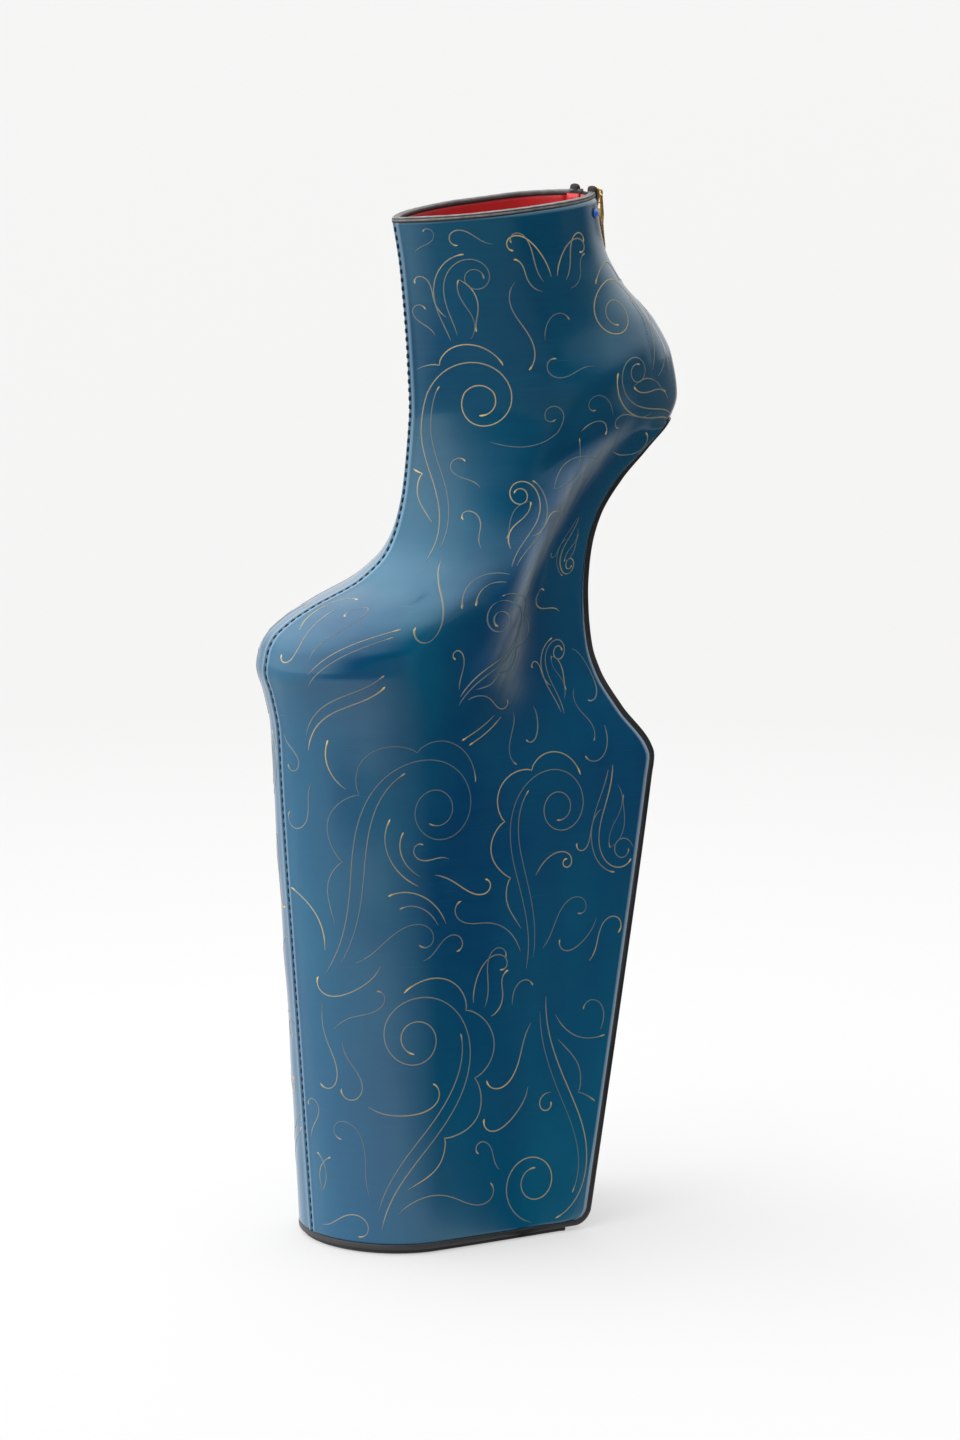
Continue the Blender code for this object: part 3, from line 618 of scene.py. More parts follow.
# Creases and folds: x and z of both ends, width, height (below zero a trough)
creases = np.array([
    (112.0, 332.5, 97.0, 316.0, 3.0, 0.7),
    (99.0, 319.0, 86.0, 298.0, 2.4, 1.0),
    (89.0, 303.0, 78.5, 279.0, 2.2, 1.1),
    (96.0, 304.0, 90.0, 282.0, 2.2, 0.8),
    (92.5, 304.0, 84.0, 280.0, 1.9, -0.9),
    (84.0, 302.0, 72.0, 276.0, 3.0, -0.7),
    (79.0, 281.0, 75.0, 265.0, 3.0, 0.8),
    (91.0, 281.0, 88.0, 266.0, 2.6, 0.7),
    (85.5, 280.0, 82.0, 266.0, 2.2, -0.7),
    (77.0, 268.0, 62.0, 257.0, 2.6, 0.8),
    (74.0, 262.0, 70.0, 250.0, 3.2, 0.6),
    (108.0, 318.0, 100.0, 290.0, 6.0, -0.9),
    (104.0, 372.0, 158.0, 386.0, 16.0, 3.8),
    (94.0, 337.0, 144.0, 362.0, 5.0, -0.7),
])


def alongStretch(points, ax, az, bx, bz):
    # seen from the side: share of the way along straight stretches, and the distance from them
    x, z = points[..., 0, None], points[..., 2, None]
    dx, dz = bx - ax, bz - az
    share = np.clip(((x - ax) * dx + (z - az) * dz) / (dx ** 2 + dz ** 2), 0.0, 1.0)
    return share, np.hypot(x - ax - share * dx, z - az - share * dz)


def sideShare(side):
    # strength of creases, and of the painted highlight with wear, on a side
    return 1.0 if side < 0 else skin["outerShare"]


def creaseLift(points, side):
    # sum of soft ridges: height times a bell of the distance from each crease line, lower at its ends
    width, height = creases[:, 4:].T
    share, gap = alongStretch(points, *creases[:, :4].T)
    swell = np.sin(math.pi * np.clip(share, 0.02, 0.98))
    return (height * fromLow(skin["creaseEnd"], swell) * bell(gap, width)).sum(axis=-1) * sideShare(side)


def seamLips(fromSeam):
    # 1 along the raised lips on both sides of the seam
    return bell(fromSeam - skin["seamLipAt"], skin["seamLipWidth"])


def softForm(points, fromSeam, side):
    # how far the leather stands off its section: creases, slight unevenness, seam groove and lips
    x, z = points[..., 0], points[..., 2]
    first, second, third = [x / along + z / up for along, up in skin["waveLengths"]]
    waves = np.sin(first + side) * np.sin(second) + 0.6 * np.sin(third)
    away = (smoothStep(fromSeam, *skin["evenBeside"]) * smoothStep(z, *skin["evenOver"])
            * (1 - smoothStep(z, *skin["evenUnder"])))
    seam = skin["seamLip"] * seamLips(fromSeam) - skin["seamGroove"] * bell(fromSeam, skin["grooveWidth"])
    return creaseLift(points, side) + skin["unevenness"] * waves * away + seam


# Painted highlight with wear along the fold under the ankle, in smoky streaks: x, z, half width, strength
foldSheenPath = np.array([
    (146.0, 358.5, 3.0, 0.2), (139.5, 353.5, 3.6, 0.5), (129.5, 346.5, 4.2, 0.75), (121.6, 339.3, 4.4, 0.9),
    (113.2, 331.9, 4.2, 1.0), (107.0, 324.4, 4.2, 1.0), (101.7, 317.0, 4.0, 0.95), (95.5, 309.7, 4.0, 0.9),
    (89.5, 302.3, 3.6, 0.9), (84.8, 294.8, 3.8, 0.85), (82.0, 287.4, 4.4, 0.95), (81.0, 279.6, 6.5, 1.0),
    (80.0, 271.6, 7.5, 1.0), (79.0, 263.6, 8.5, 1.0), (76.0, 256.1, 9.0, 0.85), (79.0, 248.0, 8.5, 0.45),
    (79.0, 241.0, 7.0, 0.15),
])


def foldSheenOn(points, side, spread=1.0):
    # strongest bell of the distance from each stretch of the path of the painted highlight and wear, seen from the
    # side
    (ax, az, aw, af), (bx, bz, bw, bf) = foldSheenPath[:-1].T, foldSheenPath[1:].T
    share, gap = alongStretch(points, ax, az, bx, bz)
    sheenAndWear = (af + (bf - af) * share) * bell(gap, (aw + (bw - aw) * share) * spread)
    return sheenAndWear.max(axis=-1) * sideShare(side)


def skinHalf(levels, side):
    # half of the skin as a grid, seam to back corner, and each point's distance from the seam
    points, run = halfOutline(levels, side, False)
    near = np.array(skin["seamStations"])
    rest = np.linspace(0.0, 1.0, skin["columns"] - len(near) + 1)[1:]
    stations = np.concatenate([np.broadcast_to(near, (len(levels), len(near))),
                               near[-1] + (run[:, -1:] - near[-1]) * rest], axis=1)
    return readAlong(points, run, stations), stations


def heelHalf(levels, side):
    # back of the heel from the corner in to the zip, for the levels above the sole
    row = asColumns(sections(levels))
    shares = np.linspace(0.0, 1.0, skin["heelColumns"])[None, :]
    y = row["halfBack"] + (slotHalf(levels)[:, None] - row["halfBack"]) * shares
    x = backAt(y, row)
    return np.stack([x, side * y, heightAt(levels[:, None], x, row)], axis=2)


def snapLevels(levels, *fixed):
    # move the nearest row onto each level that an edge needs
    levels = levels.copy()
    for value in fixed:
        levels[np.argmin(np.abs(levels - value))] = value
    return levels


def makeSkin():
    # both halves joined at the seam and lifted into form, then the heel's back on each side of the zip;
    # gives what the scroll work reads: points and normals, lengths along the rows and up the leather
    top = lastForm["collar"] - skin["rimDrop"]
    levels, total = evenLevels(lastForm["baseTop"], top, skin["rows"])
    levels = snapLevels(levels, lastForm["heelStart"], lastForm["zipStart"])
    halves = {side: skinHalf(levels, side) for side in (-1, 1)}
    middle = skin["columns"] - 1

    def joined(near, far):
        return np.concatenate([near[:, ::-1], far[:, 1:]], axis=1)

    def bySide(form):
        return np.concatenate([form(slice(middle), -1), form(slice(middle, None), 1)], axis=1)

    points = joined(halves[-1][0], halves[1][0])
    fromSeam = joined(halves[-1][1], halves[1][1])
    toCorner = joined(*[halves[side][1][:, -1:] - halves[side][1] for side in (-1, 1)])
    below = (levels < lastForm["heelStart"])[:, None]
    offCorner = smoothStep(toCorner, 0.0, skin["cornerFade"])
    lift = bySide(lambda part, side: softForm(points[:, part], fromSeam[:, part], side)) * offCorner
    lip = fromLow(skin["lipLow"], smoothStep(levels, *skin["lipLevels"]))[:, None]
    nearCorner = offCorner * (1 - smoothStep(toCorner, skin["cornerFade"], skin["lipFade"]))
    lift = lift + skin["soleLip"] * lip * below * nearCorner
    points = points - gridNormals(points) * lift[..., None]
    # pale beside the sole: the leather's cut edge with a painted highlight along it; paler also on the seam's lips
    edge = np.maximum(np.exp(-toCorner / skin["edgeFade"]) * below, skin["seamPale"] * seamLips(fromSeam))
    # values per vertex: the painted highlight with wear along the fold, and the painted shade about it
    values = {"edge": [edge], "sheenAndWear": [bySide(lambda part, side: foldSheenOn(points[:, part], side))],
              "navyAndShade": [bySide(lambda part, side: foldSheenOn(points[:, part], side, skin["shadeSpread"]))]}
    parts = [(points, gridFaces(*points.shape[:2], flip=True))]
    surfaces = {}
    heel = levels[levels >= lastForm["heelStart"]]
    for side in (-1, 1):
        patch = heelHalf(heel, side)
        parts.append((patch, gridFaces(*patch.shape[:2], flip=side > 0)))
        values["edge"].append(np.zeros(patch.shape[:2]))
        values["sheenAndWear"].append(np.zeros(patch.shape[:2]))
        values["navyAndShade"].append(foldSheenOn(patch, side, skin["shadeSpread"]))
        half = points[:, middle::-1] if side < 0 else points[:, middle:]
        back = np.repeat(half[:, -1:], skin["heelColumns"] - 1, axis=1)
        back[len(levels) - len(heel):] = patch[:, 1:]
        reach = np.linalg.norm(np.diff(back, axis=1, prepend=half[:, -1:]), axis=2).sum(axis=1)
        whole = np.concatenate([half, back], axis=1)
        grid, stations = halves[side]
        run = stations[:, -1]
        fromX = np.stack([np.interp(skin["sideX"], line[:, 0], way) for line, way in zip(grid, stations)])
        surfaces[side] = {"points": whole, "normals": gridNormals(whole) * -side, "run": run, "back": reach,
                          "reach": run + reach, "total": total, "levels": levels, "fromX": fromX}
    values = {key: np.concatenate([numbers.ravel() for numbers in grids]) for key, grids in values.items()}
    piece = makePiece("leather_skin", *joinParts(parts), blueLeather, weld=skin["weld"], values=values)
    addWall(piece, skin["thickness"], even=True)
    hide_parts("upper")
    return surfaces


skinSurfaces = makeSkin()
print("leather skin made")


# Lining: the same sections drawn in, red, with flaps over the zip tape inside the back

lining = {"rows": 120, "columns": 44, "heelColumns": 14, "low": 214.0, "inset": 1.75, "thickness": 0.9, "weld": 0.05,
          "rimDrop": 1.2, "flapDepth": 5.0, "flapFrom": 6.8, "flapTo": 10.6, "slit": 1.1}


def drawnIn(points, inset):
    # each row moved inwards along its own level normal, and kept on its own side of the middle
    run = np.gradient(points[..., :2], axis=1)
    run = run / np.maximum(np.linalg.norm(run, axis=2, keepdims=True), 1e-9)
    side = np.sign(points[:, -1:, 1])
    moved = points.copy()
    moved[..., 0] += inset * run[..., 1] * side
    moved[..., 1] -= inset * run[..., 0] * side
    across = moved[..., 1] * side
    first = np.argmax(across > 0.0, axis=1)[:, None]
    tip = np.take_along_axis(moved[..., 0], first, axis=1)
    folded = np.arange(points.shape[1])[None, :] <= first
    moved[..., 0] = np.where(folded, tip, moved[..., 0])
    moved[..., 1] = np.where(folded, 0.0, moved[..., 1])
    return moved


def makeLining():
    # sides drawn in from the sections; at the back, flaps that step in behind the zip tape, deeper where it leans
    top = lastForm["collar"] - lining["rimDrop"]
    levels = snapLevels(evenLevels(lining["low"], top, lining["rows"])[0], lastForm["heelStart"])
    heel = levels[levels >= lastForm["heelStart"]]
    row = asColumns(sections(heel))
    lean = np.hypot(1.0, np.gradient(row["back"][:, 0], heel))[:, None]
    parts = []
    for side in (-1, 1):
        grid = drawnIn(sideGrid(levels, side, np.linspace(0.0, 1.0, lining["columns"])), lining["inset"])
        corner = grid[len(levels) - len(heel):, -1:]
        cornerY = np.abs(corner[..., 1])
        y = cornerY + (lining["slit"] - cornerY) * np.linspace(0.0, 1.0, lining["heelColumns"])[None, :]
        flap = 1 - smoothStep(y, lining["flapFrom"], lining["flapTo"])
        x = backAt(y, row) - lining["inset"] - (lining["flapDepth"] * lean - lining["inset"]) * flap
        x[:, :1] = corner[..., 0]
        back = np.stack([x, side * y, heightAt(heel[:, None], x, row)], axis=2)
        parts += [(part, gridFaces(*part.shape[:2], flip=side > 0)) for part in (grid, back)]
    piece = makePiece("lining", *joinParts(parts), redLining, weld=lining["weld"])
    addWall(piece, lining["thickness"])


makeLining()
print("lining made")


# Collar edge: layered cut edge carried round the rim from one side of the zip to the other

collarEdge = {
    "stations": 260,
    # profile: distance in from the leather's outside, height over the rim, darkness, which is 0 where the painted
    # sheen shows
    "profile": ((0.3, -2.4, 1.0), (-0.1, -2.2, 1.0), (-0.2, -1.75, 1.0), (-0.22, -1.6, 0.3), (-0.25, -1.15, 0.0),
                (-0.2, -0.95, 0.4), (-0.02, -0.85, 1.0), (0.0, -0.55, 1.0), (-0.1, -0.42, 0.4), (0.15, -0.1, 0.05),
                (0.6, 0.05, 0.0), (0.85, -0.05, 0.6), (1.0, -0.4, 1.0), (1.15, -0.05, 0.6), (1.4, 0.05, 0.0),
                (1.8, 0.05, 0.05), (2.05, -0.08, 0.7), (2.18, -0.35, 1.0), (2.3, -0.06, 0.6), (2.6, 0.0, 0.0),
                (2.9, -0.2, 0.2), (3.05, -0.7, 0.5), (3.05, -2.0, 0.9), (1.6, -3.0, 1.0)),
    "ripples": ((0.03, 0.9, 0.0), (0.06, 0.17, 1.0)),   # height, rate and shift of the top's unevenness
    "rippleReach": 0.5,     # it moves only what lies this near the rim
    "slit": 0.01,           # smallest distance from the middle
}


def rimLine():
    # the rim's outer line, zip to zip round the front, evenly spaced
    near, far = [halfOutline(np.array([lastForm["collar"]]), side)[0][0] for side in (-1, 1)]
    line = np.concatenate([near[::-1], far[1:]])
    run = runOf(line)
    return readLine(line, run, np.linspace(0.0, run[-1], collarEdge["stations"]))


def makeCollarEdge():
    # the profile carried along the rim's line; from near over the front to far, inside lies to the right
    line = rimLine()
    number = np.arange(len(line))
    run = directions(line[:, :2])
    inward = np.stack([run[:, 1], -run[:, 0]], axis=1)
    inset, up, dark = np.array(collarEdge["profile"]).T
    ripple = sum(size * np.sin(number * rate + shift) for size, rate, shift in collarEdge["ripples"])
    points = np.empty((len(line), len(inset), 3))
    points[..., :2] = line[:, None, :2] + inward[:, None, :] * inset[None, :, None]
    points[..., 2] = line[:, None, 2] + up + ripple[:, None] * (np.abs(up) < collarEdge["rippleReach"])
    side = np.where(number < len(line) / 2, -1.0, 1.0)[:, None]
    points[..., 1] = np.where(points[..., 1] * side > 0, points[..., 1], side * collarEdge["slit"])
    piece = makePiece("collar_edge", points, tubeFaces(*points.shape[:2]), cutEdge, recalculate=True,
                      values={"layer": np.broadcast_to(dark, points.shape[:2])})


makeCollarEdge()
print("collar edge made")


# Scroll work: tooled lines drawn on the unrolled side, distance from the seam across and leather length up

scroll = {
    "reach": 200,           # widest unrolled side
    "step": 1.0,
    "halfWidth": 0.195,
    "sideways": (-1.9, -1.0, 0.0, 1.0, 1.9),          # across a line, in half widths
    "raised": (-0.10, 0.12, 0.07, 0.12, -0.10),
    "inked": (0.0, 0.85, 1.0, 0.85, 0.0),
    "strength": (0.22, 0.88),                         # ranges of each line's ink and of its wandering tone
    "wanderRate": (2.0, 7.0),
    "wanderShift": (0.0, 6.0),
    "toneLow": 0.55,        # share of the ink where the tone wanders lowest
    "endTone": (0.5, 2.2),  # ink that gathers at the end of a line, and over which distance
    "inkLow": 0.35,         # cover of the thinnest ink
    "widths": (0.75, 0.35),        # share of the half width, and what strong ink adds
    "startWidth": (0.35, 0.0, 5.0),   # width at the start, and the distances over which it grows
    "endWidth": (0.3, -0.4, 0.9),
    "endDot": (0.55, 1.0, 1.1),    # dot before the end: extra width, place and reach
    "clearance": 3.0,
    "shortest": 20,         # points of the shortest cut line that stays
    "seed": 11,
    "inkSeed": 31,
    "fillTries": 3000,
    "fillSize": (0.85, 1.3),
    "lateFrom": 0.7,        # share of the tries after which fillers shrink
    "lateSize": 0.7,
    "sideEvery": 6,         # every sixth try lies beside the ridge, between these x
    "sideSpan": (40.0, 150.0),
    "inset": 3.0,           # from the edges of the leather
    "sideLow": 236.0,       # between these levels, past this share of the way round, lines are drawn from the side
    "sideHigh": 346.0,
    "sideShare": 0.33,
    "wornOff": 0.75,        # how much of the ink is gone on the ridge
}


def readSkin(surface, across, up):
    # points and normals of the dressed leather at distances from the seam and lengths up the leather
    rows = np.clip(up / surface["total"], 0.0, 1.0) * (skin["rows"] - 1)
    low = np.clip(np.floor(rows).astype(int), 0, skin["rows"] - 2)
    near = np.array(skin["seamStations"])
    found = []
    for row in (low, low + 1):
        run, back = surface["run"][row], np.maximum(surface["back"][row], 1e-6)
        column = np.where(across <= near[-1], np.interp(across, near, np.arange(len(near))),
                          len(near) - 1 + (across - near[-1]) / (run - near[-1]) * (skin["columns"] - len(near)))
        column = np.where(across > run, skin["columns"] - 1 + np.clip((across - run) / back, 0.0, 1.0)
                          * (skin["heelColumns"] - 1), column)
        left = np.clip(np.floor(column).astype(int), 0, surface["points"].shape[1] - 2)
        share = (column - left)[..., None]
        found.append([surface[key][row, left] * (1 - share) + surface[key][row, left + 1] * share
                      for key in ("points", "normals")])
    share = (rows - low)[..., None]
    return [found[0][k] * (1 - share) + found[1][k] * share for k in (0, 1)]


def strokeLine(x, y, heading, length, turns):
    # a line whose heading turns by the listed degrees over equal shares of its length
    count = max(int(length / scroll["step"]), 8)
    centres = (np.arange(len(turns)) + 0.5) / len(turns)
    rate = np.interp((np.arange(count) + 0.5) / count, centres, turns) * len(turns) / count
    way = np.radians(heading + np.cumsum(rate) - rate / 2)
    move = np.stack([np.cos(way), np.sin(way)], axis=1) * length / count
    return np.concatenate([[(x, y)], (x, y) + np.cumsum(move, axis=0)])


def strokeLines(*rows):
    # several such lines
    return [strokeLine(*row) for row in rows]


def besideLine(line, low, high, base, swell, lobeBase=0.0, lobes=0):
    # the stretch of a line between two shares of its length, moved to its right: a base distance and a half wave,
    # which lobes can cut into rounds
    part = line[int(low * (len(line) - 1)):int(high * (len(line) - 1)) + 1]
    way = directions(part)
    turn = math.pi * np.linspace(0.0, 1.0, len(part))
    rounds = np.abs(np.sin(lobes * turn)) ** 0.8 if lobes else 1.0
    distance = base + (lobeBase + swell * np.sin(turn)) * rounds
    return part + np.stack([way[:, 1], -way[:, 0]], axis=1) * distance[:, None]


def bigScroll():
    # curling stem, a line inside it, and a lobed leaf with ribs along its back: a row of half waves beside the stem
    stem = strokeLine(0, 0, 84, 176, (-24, -8, 20, 44, 62, 82, 108, 146, 200))
    return [stem, besideLine(stem, 0.03, 0.44, -2.6, -1.6), besideLine(stem, 0.10, 0.60, 3.0, 4.2, 2.6, 4),
            *[besideLine(stem, at, at + 0.055, 2.6, 1.6) for at in (0.155, 0.285, 0.41, 0.535)],
            *strokeLines((5, 6, 54, 44, (-26, -34, -20, 40, 130)), (-5, 10, 118, 40, (-24, 6, 30, 80, 160)))]


def smallScroll():
    # curling stem with a line outside it, a pointed leaf and a hook
    stem = strokeLine(0, 0, 90, 104, (-20, 2, 36, 70, 104, 150, 200))
    leaf = strokeLine(-3, 10, 134, 34, (-46, -34, 10, 44))
    return [stem, besideLine(stem, 0.02, 0.55, 2.6, 2.2), leaf,
            *strokeLines((*leaf[-1], 200, 30, (34, 30, 20, -20)), (7, 22, 34, 30, (36, 16, -40, -160)))]


def vineStem():
    # stem of two bends with a curl to each side
    stem = strokeLine(0, 0, 66, 132, (46, 22, -14, -38, -30, 6, 60, 150))
    left = strokeLine(*stem[38], 128, 52, (-10, 24, 60, 110, 170))
    right = strokeLine(*stem[66], 36, 46, (30, 0, -50, -120, -170))
    return [stem, besideLine(stem, 0.05, 0.5, 2.4, 2.4), left[4:], right[5:]]


def hookSpray():
    # six hooks that fan out from one foot
    return strokeLines((0, 0, 92, 46, (20, 10, 20, 60, 150)), (4, 0, 78, 40, (-20, -14, -30, -70, -160)),
                       (-5, -2, 124, 40, (-30, 0, 40, 150)), (9, -3, 46, 36, (30, 0, -50, -150)),
                       (-7, -7, 166, 26, (-50, -30, 80)), (11, -8, 4, 24, (50, 40, -90)))


def palmLeaf():
    # pointed leaf with a middle rib between two curls
    return strokeLines((0, 0, 112, 44, (20, -26, -36, -34)), (0, 0, 66, 44, (-16, 26, 36, 34)),
                       (0, 6, 90, 24, (8, -6, -8)), (-9, 3, 160, 28, (-40, -60, -130)),
                       (9, 3, 20, 28, (40, 60, 130)))


def smallFillers():
    # hooks, a double arc and a slim leaf for the ground between
    hooks = [strokeLines((0, 0, 0, length, turns)) for length, turns in (
        (48, (-20, -8, 14, 50, 150)), (40, (14, 24, -10, -40, -120)), (34, (30, 10, 30, 120)),
        (58, (10, 22, 26, 60, 120, 190)), (30, (-40, 20, 80, 130)), (44, (60, 20, -20, -60)), (28, (20, 50, 90)))]
    return [*hooks, strokeLines((0, 0, 0, 34, (26, 30, 40)), (1, 4, 4, 22, (24, 30, 40))),
            strokeLines((0, 0, 34, 30, (-24, -40, -28)), (0, 0, -28, 30, (24, 40, 28)))]


ornaments = {"big": bigScroll(), "small": smallScroll(), "vine": vineStem(), "spray": hookSpray(),
             "palm": palmLeaf()}
fillers = smallFillers()
# Where the ornaments stand on each side: name, distance from the seam, height along the leather, turn, size, hand
layouts = {
    -1: (("big", 40, 8, -8, 1.3, 1), ("big", 126, 104, 168, 1.25, -1), ("spray", 84, 104, 14, 1.0, 1),
         ("vine", 140, 14, -14, 0.8, 1), ("big", 20, 122, -42, 1.35, -1), ("big", 116, 118, -22, 1.1, -1),
         ("palm", 50, 196, 30, 1.0, 1), ("small", 168, 204, 176, 0.9, 1), ("big", 118, 246, 152, 0.95, 1),
         ("vine", 18, 222, -30, 1.0, -1), ("small", 140, 222, 6, 1.0, -1), ("big", 24, 252, -28, 1.05, 1),
         ("small", 66, 288, -6, 1.1, -1), ("big", 22, 320, -12, 1.15, -1), ("small", 138, 384, 64, 0.9, -1),
         ("big", 106, 366, 10, 1.0, 1), ("small", 24, 414, -4, 0.95, -1), ("spray", 68, 452, 4, 0.8, 1)),
    1: (("vine", 26, 10, 10, 1.1, 1), ("big", 112, 8, 6, 1.3, 1), ("small", 74, 12, 20, 1.0, 1),
        ("small", 140, 30, -10, 1.0, -1), ("big", 20, 104, -34, 1.3, -1), ("big", 160, 130, 60, 1.2, 1),
        ("palm", 60, 214, -10, 1.1, 1), ("big", 170, 232, 140, 1.0, -1), ("small", 24, 198, -12, 1.0, 1),
        ("big", 92, 208, -4, 1.1, -1), ("spray", 48, 262, 20, 1.0, 1), ("vine", 22, 286, -16, 1.0, 1),
        ("big", 98, 300, 26, 1.05, 1), ("small", 78, 352, -10, 0.9, -1), ("big", 30, 372, -20, 1.1, -1),
        ("vine", 132, 372, 20, 0.9, 1), ("small", 104, 404, 30, 0.9, 1), ("spray", 84, 454, 0, 0.7, 1)),
}

# The same beside the ridge of the foot: name, x, z, turn, size, hand
sideLayouts = {
    -1: (("big", 50, 242, -26, 0.62, 1), ("small", 108, 232, 8, 0.62, -1), ("small", 78, 300, -24, 0.72, 1),
         ("small", 118, 318, 160, 0.5, 1)),
    1: (("big", 56, 240, -20, 0.62, 1), ("small", 108, 236, 4, 0.6, -1), ("small", 84, 302, -20, 0.7, 1)),
}


def movedLines(lines, x, y, turn, size, hand):
    # lines mirrored by hand, then sized, turned and moved to their place
    c, s = math.cos(math.radians(turn)) * size, math.sin(math.radians(turn)) * size
    flip = np.array([float(hand), 1.0])
    return [(x, y) + (line * flip) @ np.array([[c, s], [-s, c]]) for line in lines]


def insideLeather(line, field):
    # true where a point keeps clear of the edges of the unrolled leather
    reach = np.interp(line[:, 1] / field["total"] * (skin["rows"] - 1), np.arange(skin["rows"]), field["reach"])
    inset = scroll["inset"]
    return ((line[:, 0] > inset) & (line[:, 0] < reach - inset)
            & (line[:, 1] > inset) & (line[:, 1] < field["total"] - inset))


def sideToFlat(line, field):
    # a line drawn in x and z as seen from the side, as distances from the seam and lengths up the leather
    rows = np.interp(line[:, 1], field["levels"], np.arange(skin["rows"]))
    columns = np.clip(line[:, 0] - skin["sideX"][0], 0.0, len(skin["sideX"]) - 1.001)
    low, left = np.minimum(rows.astype(int), skin["rows"] - 2), columns.astype(int)
    up, along = rows - low, columns - left
    table = field["fromX"]
    across = ((table[low, left] * (1 - along) + table[low, left + 1] * along) * (1 - up)
              + (table[low + 1, left] * (1 - along) + table[low + 1, left + 1] * along) * up)
    return np.stack([across, rows / (skin["rows"] - 1) * field["total"]], axis=1)


def inSideZone(line, field):
    # true where the unrolled leather is squeezed, beside the ridge of the foot
    rows = line[:, 1] / field["total"] * (skin["rows"] - 1)
    level = np.interp(rows, np.arange(skin["rows"]), field["levels"])
    share = line[:, 0] / np.interp(rows, np.arange(skin["rows"]), field["run"])
    return (level > scroll["sideLow"]) & (level < scroll["sideHigh"]) & (share > scroll["sideShare"])


def drawSide(side, field):
    # ornaments first, cut where they meet; then small strokes wherever a seeded trial finds room
    chance = np.random.default_rng(scroll["seed"] + side)
    taken = np.zeros((int(field["total"]) + 20, scroll["reach"] + 20), bool)
    most = np.array(taken.shape) - 1
    radius = int(math.ceil(scroll["clearance"]))
    dy, dx = np.mgrid[-radius:radius + 1, -radius:radius + 1]
    disc = np.stack([dy, dx], axis=2)[np.hypot(dy, dx) <= scroll["clearance"]]
    strokes = []

    def cells(line):
        return np.clip(np.rint(line[:, ::-1]).astype(int), 0, most)

    def keep(lines):
        for line in lines:
            spots = np.clip((cells(line)[:, None, :] + disc[None]).reshape(-1, 2), 0, most)
            taken[spots[:, 0], spots[:, 1]] = True
        strokes.extend(lines)

    for fromSide, rows in ((True, sideLayouts[side]), (False, layouts[side])):
        for name, *spot in rows:
            added = []
            for line in movedLines(ornaments[name], *spot):
                line = sideToFlat(line, field) if fromSide else line
                free = insideLeather(line, field) & ~taken[tuple(cells(line).T)]
                free = free if fromSide else free & ~inSideZone(line, field)
                cuts = np.flatnonzero(np.diff(free.astype(int))) + 1
                added += [line[run] for run in np.split(np.arange(len(line)), cuts)
                          if free[run[0]] and len(run) > scroll["shortest"]]
            keep(added)
    for attempt in range(scroll["fillTries"]):
        lines = fillers[chance.integers(len(fillers))]
        late = attempt >= scroll["fillTries"] * scroll["lateFrom"]
        size = chance.uniform(*scroll["fillSize"]) * (scroll["lateSize"] if late else 1.0)
        spot = chance.uniform((0.0, 0.0), (scroll["reach"], field["total"]))
        lines = movedLines(lines, *spot, chance.uniform(0.0, 360.0), size, chance.choice((-1.0, 1.0)))
        fromSide = attempt % scroll["sideEvery"] == 0
        if fromSide:
            low, high = zip(scroll["sideSpan"], (scroll["sideLow"], scroll["sideHigh"]))
            move = chance.uniform(low, high) - spot
            lines = [sideToFlat(line + move, field) for line in lines]
        if all(insideLeather(line, field).all() and inSideZone(line, field).any() == fromSide
               and not taken[tuple(cells(line).T)].any() for line in lines):
            keep(lines)
    return strokes


def makeScroll(side, name):
    # each line as a strip of five points across, laid on the leather: outer points sunk, lips raised
    field = skinSurfaces[side]
    strokes = drawSide(side, field)
    chance = np.random.default_rng(scroll["inkSeed"] + 7 * side)
    lengths = np.array([len(line) for line in strokes])
    line = np.concatenate(strokes)
    owner = np.repeat(np.arange(len(strokes)), lengths)
    first = np.repeat(np.cumsum(lengths) - lengths, lengths)
    along = (np.arange(len(line)) - first) / (lengths[owner] - 1)
    ahead = np.concatenate([np.gradient(part, axis=0) for part in strokes])
    ahead /= np.maximum(np.linalg.norm(ahead, axis=1)[:, None], 1e-9)
    beside = np.stack([-ahead[:, 1], ahead[:, 0]], axis=1)
    toEnd = (1 - along) * lengths[owner] * scroll["step"]
    fromStart = along * lengths[owner] * scroll["step"]
    strength, rate, shift = [chance.uniform(*scroll[key], len(strokes))[owner]
                             for key in ("strength", "wanderRate", "wanderShift")]
    wander = 0.5 + 0.5 * np.sin(along * rate + shift)
    gathered, reach = scroll["endTone"]
    tone = strength * fromLow(scroll["toneLow"], wander) + gathered * bell(toEnd, reach)
    tone = np.clip(tone, 0.0, 1.0)[:, None]
    least, added = scroll["widths"]
    dot, dotAt, dotReach = scroll["endDot"]
    width = scroll["halfWidth"] * (least + added * strength) * (1 + dot * bell(toEnd - dotAt, dotReach))
    for way, (low, *span) in ((fromStart, scroll["startWidth"]), (toEnd, scroll["endWidth"])):
        width = width * fromLow(low, smoothStep(way, *span))
    spots = line[:, None, :] + beside[:, None, :] * (width[:, None] * np.array(scroll["sideways"]))[..., None]
    points, normals = readSkin(field, np.abs(spots[..., 0]), spots[..., 1])
    points = points + normals * np.array(scroll["raised"])[None, :, None]
    rows, columns = points.shape[:2]
    faces = gridFaces(rows, columns, flip=side < 0)
    faces = faces[owner[faces[:, 0] // columns] == owner[faces[:, 2] // columns]]
    worn = 1 - scroll["wornOff"] * foldSheenOn(points, side)
    ink = np.array(scroll["inked"]) * fromLow(scroll["inkLow"], tone) * worn
    piece = makePiece(name, points, faces, ochreLine,
                      values={"ink": ink, "tone": np.broadcast_to(tone, (rows, columns))})
    print(name, len(strokes), "strokes", int(lengths.sum()), "mm", len(faces) * 2, "triangles")


makeScroll(-1, "scroll_near")
makeScroll(1, "scroll_far")


# Front seam: black stitches sunk in the groove

